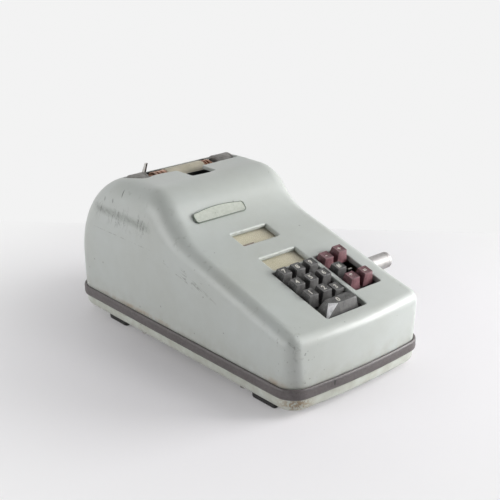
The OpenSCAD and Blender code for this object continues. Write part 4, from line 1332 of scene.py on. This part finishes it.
for material, nodes in (
    (FRAME_STEEL, ("left_frame", "right_frame", "frame_brackets", "platen_brackets", "paper_shelf")),
    (FRAME_STEEL, ("key_comb_plate", "main_cams", "type_sectors")),
    (BRASS, ("drive_gear", "main_gear", "hub_bush", "pin_carriage")),
    (BRIGHT, ("tie_rods", "frame_screws", "pan_screws", "return_spring", "carriage_rails")),
    (BRIGHT, ("register_axle", "type_shaft", "drive_shaft", "main_shaft", "platen_shaft")),
    (BRIGHT, ("release_lever",)),
    (STEM_STEEL, ("bare_stem",)),
    (BLACK, ("key_top_plate", "ribbon_deck", "paper_chute")),
    (INKED, ("ribbon",)),
    (FLAG, ("indicator_flag",)),
    (CREAM, ("indicator_plates", "register_wheels")),
    (PANE, ("window_panes",)),
    (DARK, ("pressure_rollers",)),
):
    for node in nodes:
        node_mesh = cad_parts[node].data
        node_mesh.materials.clear()
        node_mesh.materials.append(material)


# ---- camera, floor and light ----
CAMERA_AT = (-656.70, -776.51, 481.79)  # in millimetres
CAMERA_RIGHT = (0.75858, -0.65139, -0.01549)
CAMERA_UP = (0.24293, 0.26069, 0.93436)
STAGE_WHITE = (0.895, 0.895, 0.895)
FLOOR_FADE = (0.03, 0.56)  # distances between which the floor turns white, in metres
# direction in which the studio is open and dim
OPEN_SIDE = (-0.60, -0.71, 0.36)
# place, aim, width, height and power of each lamp
LAMPS = {
    "key": ((0.95, -0.80, 0.40), (0.02, -0.06, 0.06), 0.8, 0.6, 21.0),
    "front_top": ((0.45, -0.75, 1.15), (0.0, -0.02, 0.1), 0.5, 0.5, 3.4),
    "left": ((-1.2, 0.32, 0.42), (0.0, 0.02, 0.08), 0.9, 0.7, 7.6),
    "rear": ((0.5, 1.2, 1.0), (0.0, 0.05, 0.1), 0.8, 0.8, 1.6),
}


def link(name, data):
    obj = bpy.data.objects.new(name, data)
    bpy.context.scene.collection.objects.link(obj)
    return obj


def make_camera():
    camera = link("camera", bpy.data.cameras.new("camera"))
    camera.data.sensor_width = 36.0
    camera.data.lens = 72.08
    camera.data.clip_start = 0.05
    camera.data.clip_end = 50.0
    right, up = Vector(CAMERA_RIGHT), Vector(CAMERA_UP)
    turn = Matrix((right, up, right.cross(up))).transposed()
    camera.matrix_world = Matrix.Translation(Vector(CAMERA_AT) * MM) @ turn.to_4x4()
    bpy.context.scene.camera = camera


def seen_rays(tree):
    """1 for rays from the camera and for those that metal and glass send on."""
    path = put(tree, "ShaderNodeLightPath").outputs
    either = maths(tree, "MAXIMUM", path["Is Camera Ray"], path["Is Glossy Ray"])
    return maths(tree, "MAXIMUM", either, path["Is Transmission Ray"])


def stage_surface(name, lit, fade=None):
    """A stage material that shows plain white to the camera and still lights the object evenly."""
    mat = bpy.data.materials.new(name)
    mat.use_nodes = True
    tree = mat.node_tree
    shader = tree.nodes["Principled BSDF"]
    shader.inputs["Base Color"].default_value = (*lit, 1.0)
    shader.inputs["Roughness"].default_value = 0.9
    shader.inputs["Specular IOR Level"].default_value = 0.1
    glow = put(tree, "ShaderNodeEmission", {"Color": (*STAGE_WHITE, 1.0)})
    share = seen_rays(tree)
    if fade:
        off = put(tree, "ShaderNodeVectorMath", {0: object_place(tree)}, operation="LENGTH")
        inputs = {0: off.outputs["Value"], 1: fade[0], 2: fade[1]}
        far = put(tree, "ShaderNodeMapRange", inputs, interpolation_type="SMOOTHSTEP").outputs[0]
        share = maths(tree, "MULTIPLY", share, far)
    mix = put(tree, "ShaderNodeMixShader", {0: share, 1: shader.outputs[0], 2: glow.outputs[0]})
    tree.links.new(mix.outputs[0], tree.nodes["Material Output"].inputs["Surface"])
    return mat


def stage_mesh(name, points, faces, material):
    mesh = bpy.data.meshes.new(name)
    mesh.from_pydata(points, [], faces)
    mesh.materials.append(material)
    return link(name, mesh)


def make_stage():
    # the floor's far edge runs across the view behind the machine
    rim = [(-3.0, -3.6, 0), (3.2, -3.6, 0), (3.2, -2.95, 0), (-1.62, 2.24, 0), (-3.0, 2.24, 0)]
    paint = stage_surface("floor_white", (0.88, 0.86, 0.89), FLOOR_FADE)
    floor = stage_mesh("floor", rim, [(0, 1, 2, 3, 4)], paint)
    walls = [(-4, 2.2, -2), (2.2, 2.2, -2), (2.2, 2.2, 3), (-4, 2.2, 3), (2.2, -4, -2), (2.2, -4, 3)]
    paint = stage_surface("backdrop_white", (0.8, 0.8, 0.8))
    backdrop = stage_mesh("backdrop", walls, [(0, 1, 2, 3), (1, 4, 5, 2)], paint)


def make_world():
    """A studio that is open on the camera's side: dimmer there than all round."""
    world = bpy.data.worlds.new("studio")
    bpy.context.scene.world = world
    world.use_nodes = True
    tree = world.node_tree
    ground = tree.nodes["Background"]
    ground.inputs["Color"].default_value = (1.0, 1.0, 1.0, 1.0)
    way = put(tree, "ShaderNodeTexCoord").outputs["Generated"]
    toward = vector_maths(tree, "DOT_PRODUCT", way, OPEN_SIDE).outputs["Value"]
    light = ramp(tree, toward, 0.1, 0.9, 0.31, 0.11)
    white = ramp(tree, toward, 0.0, 0.7, 0.9, 0.12)
    seen = put(tree, "ShaderNodeMix", {0: seen_rays(tree), 2: light, 3: white})
    tree.links.new(seen.outputs[0], ground.inputs["Strength"])


def make_lamps():
    for name, (at, target, width, height, power) in LAMPS.items():
        data = bpy.data.lights.new(name, "AREA")
        data.shape = "RECTANGLE"
        data.size, data.size_y = width, height
        data.energy = power
        lamp = link(name, data)
        lamp.location = at
        lamp.rotation_mode = "QUATERNION"
        lamp.rotation_quaternion = (Vector(target) - Vector(at)).to_track_quat("-Z", "Y")


make_camera()
make_stage()
make_world()
make_lamps()
bpy.context.scene.view_settings.view_transform = "Standard"
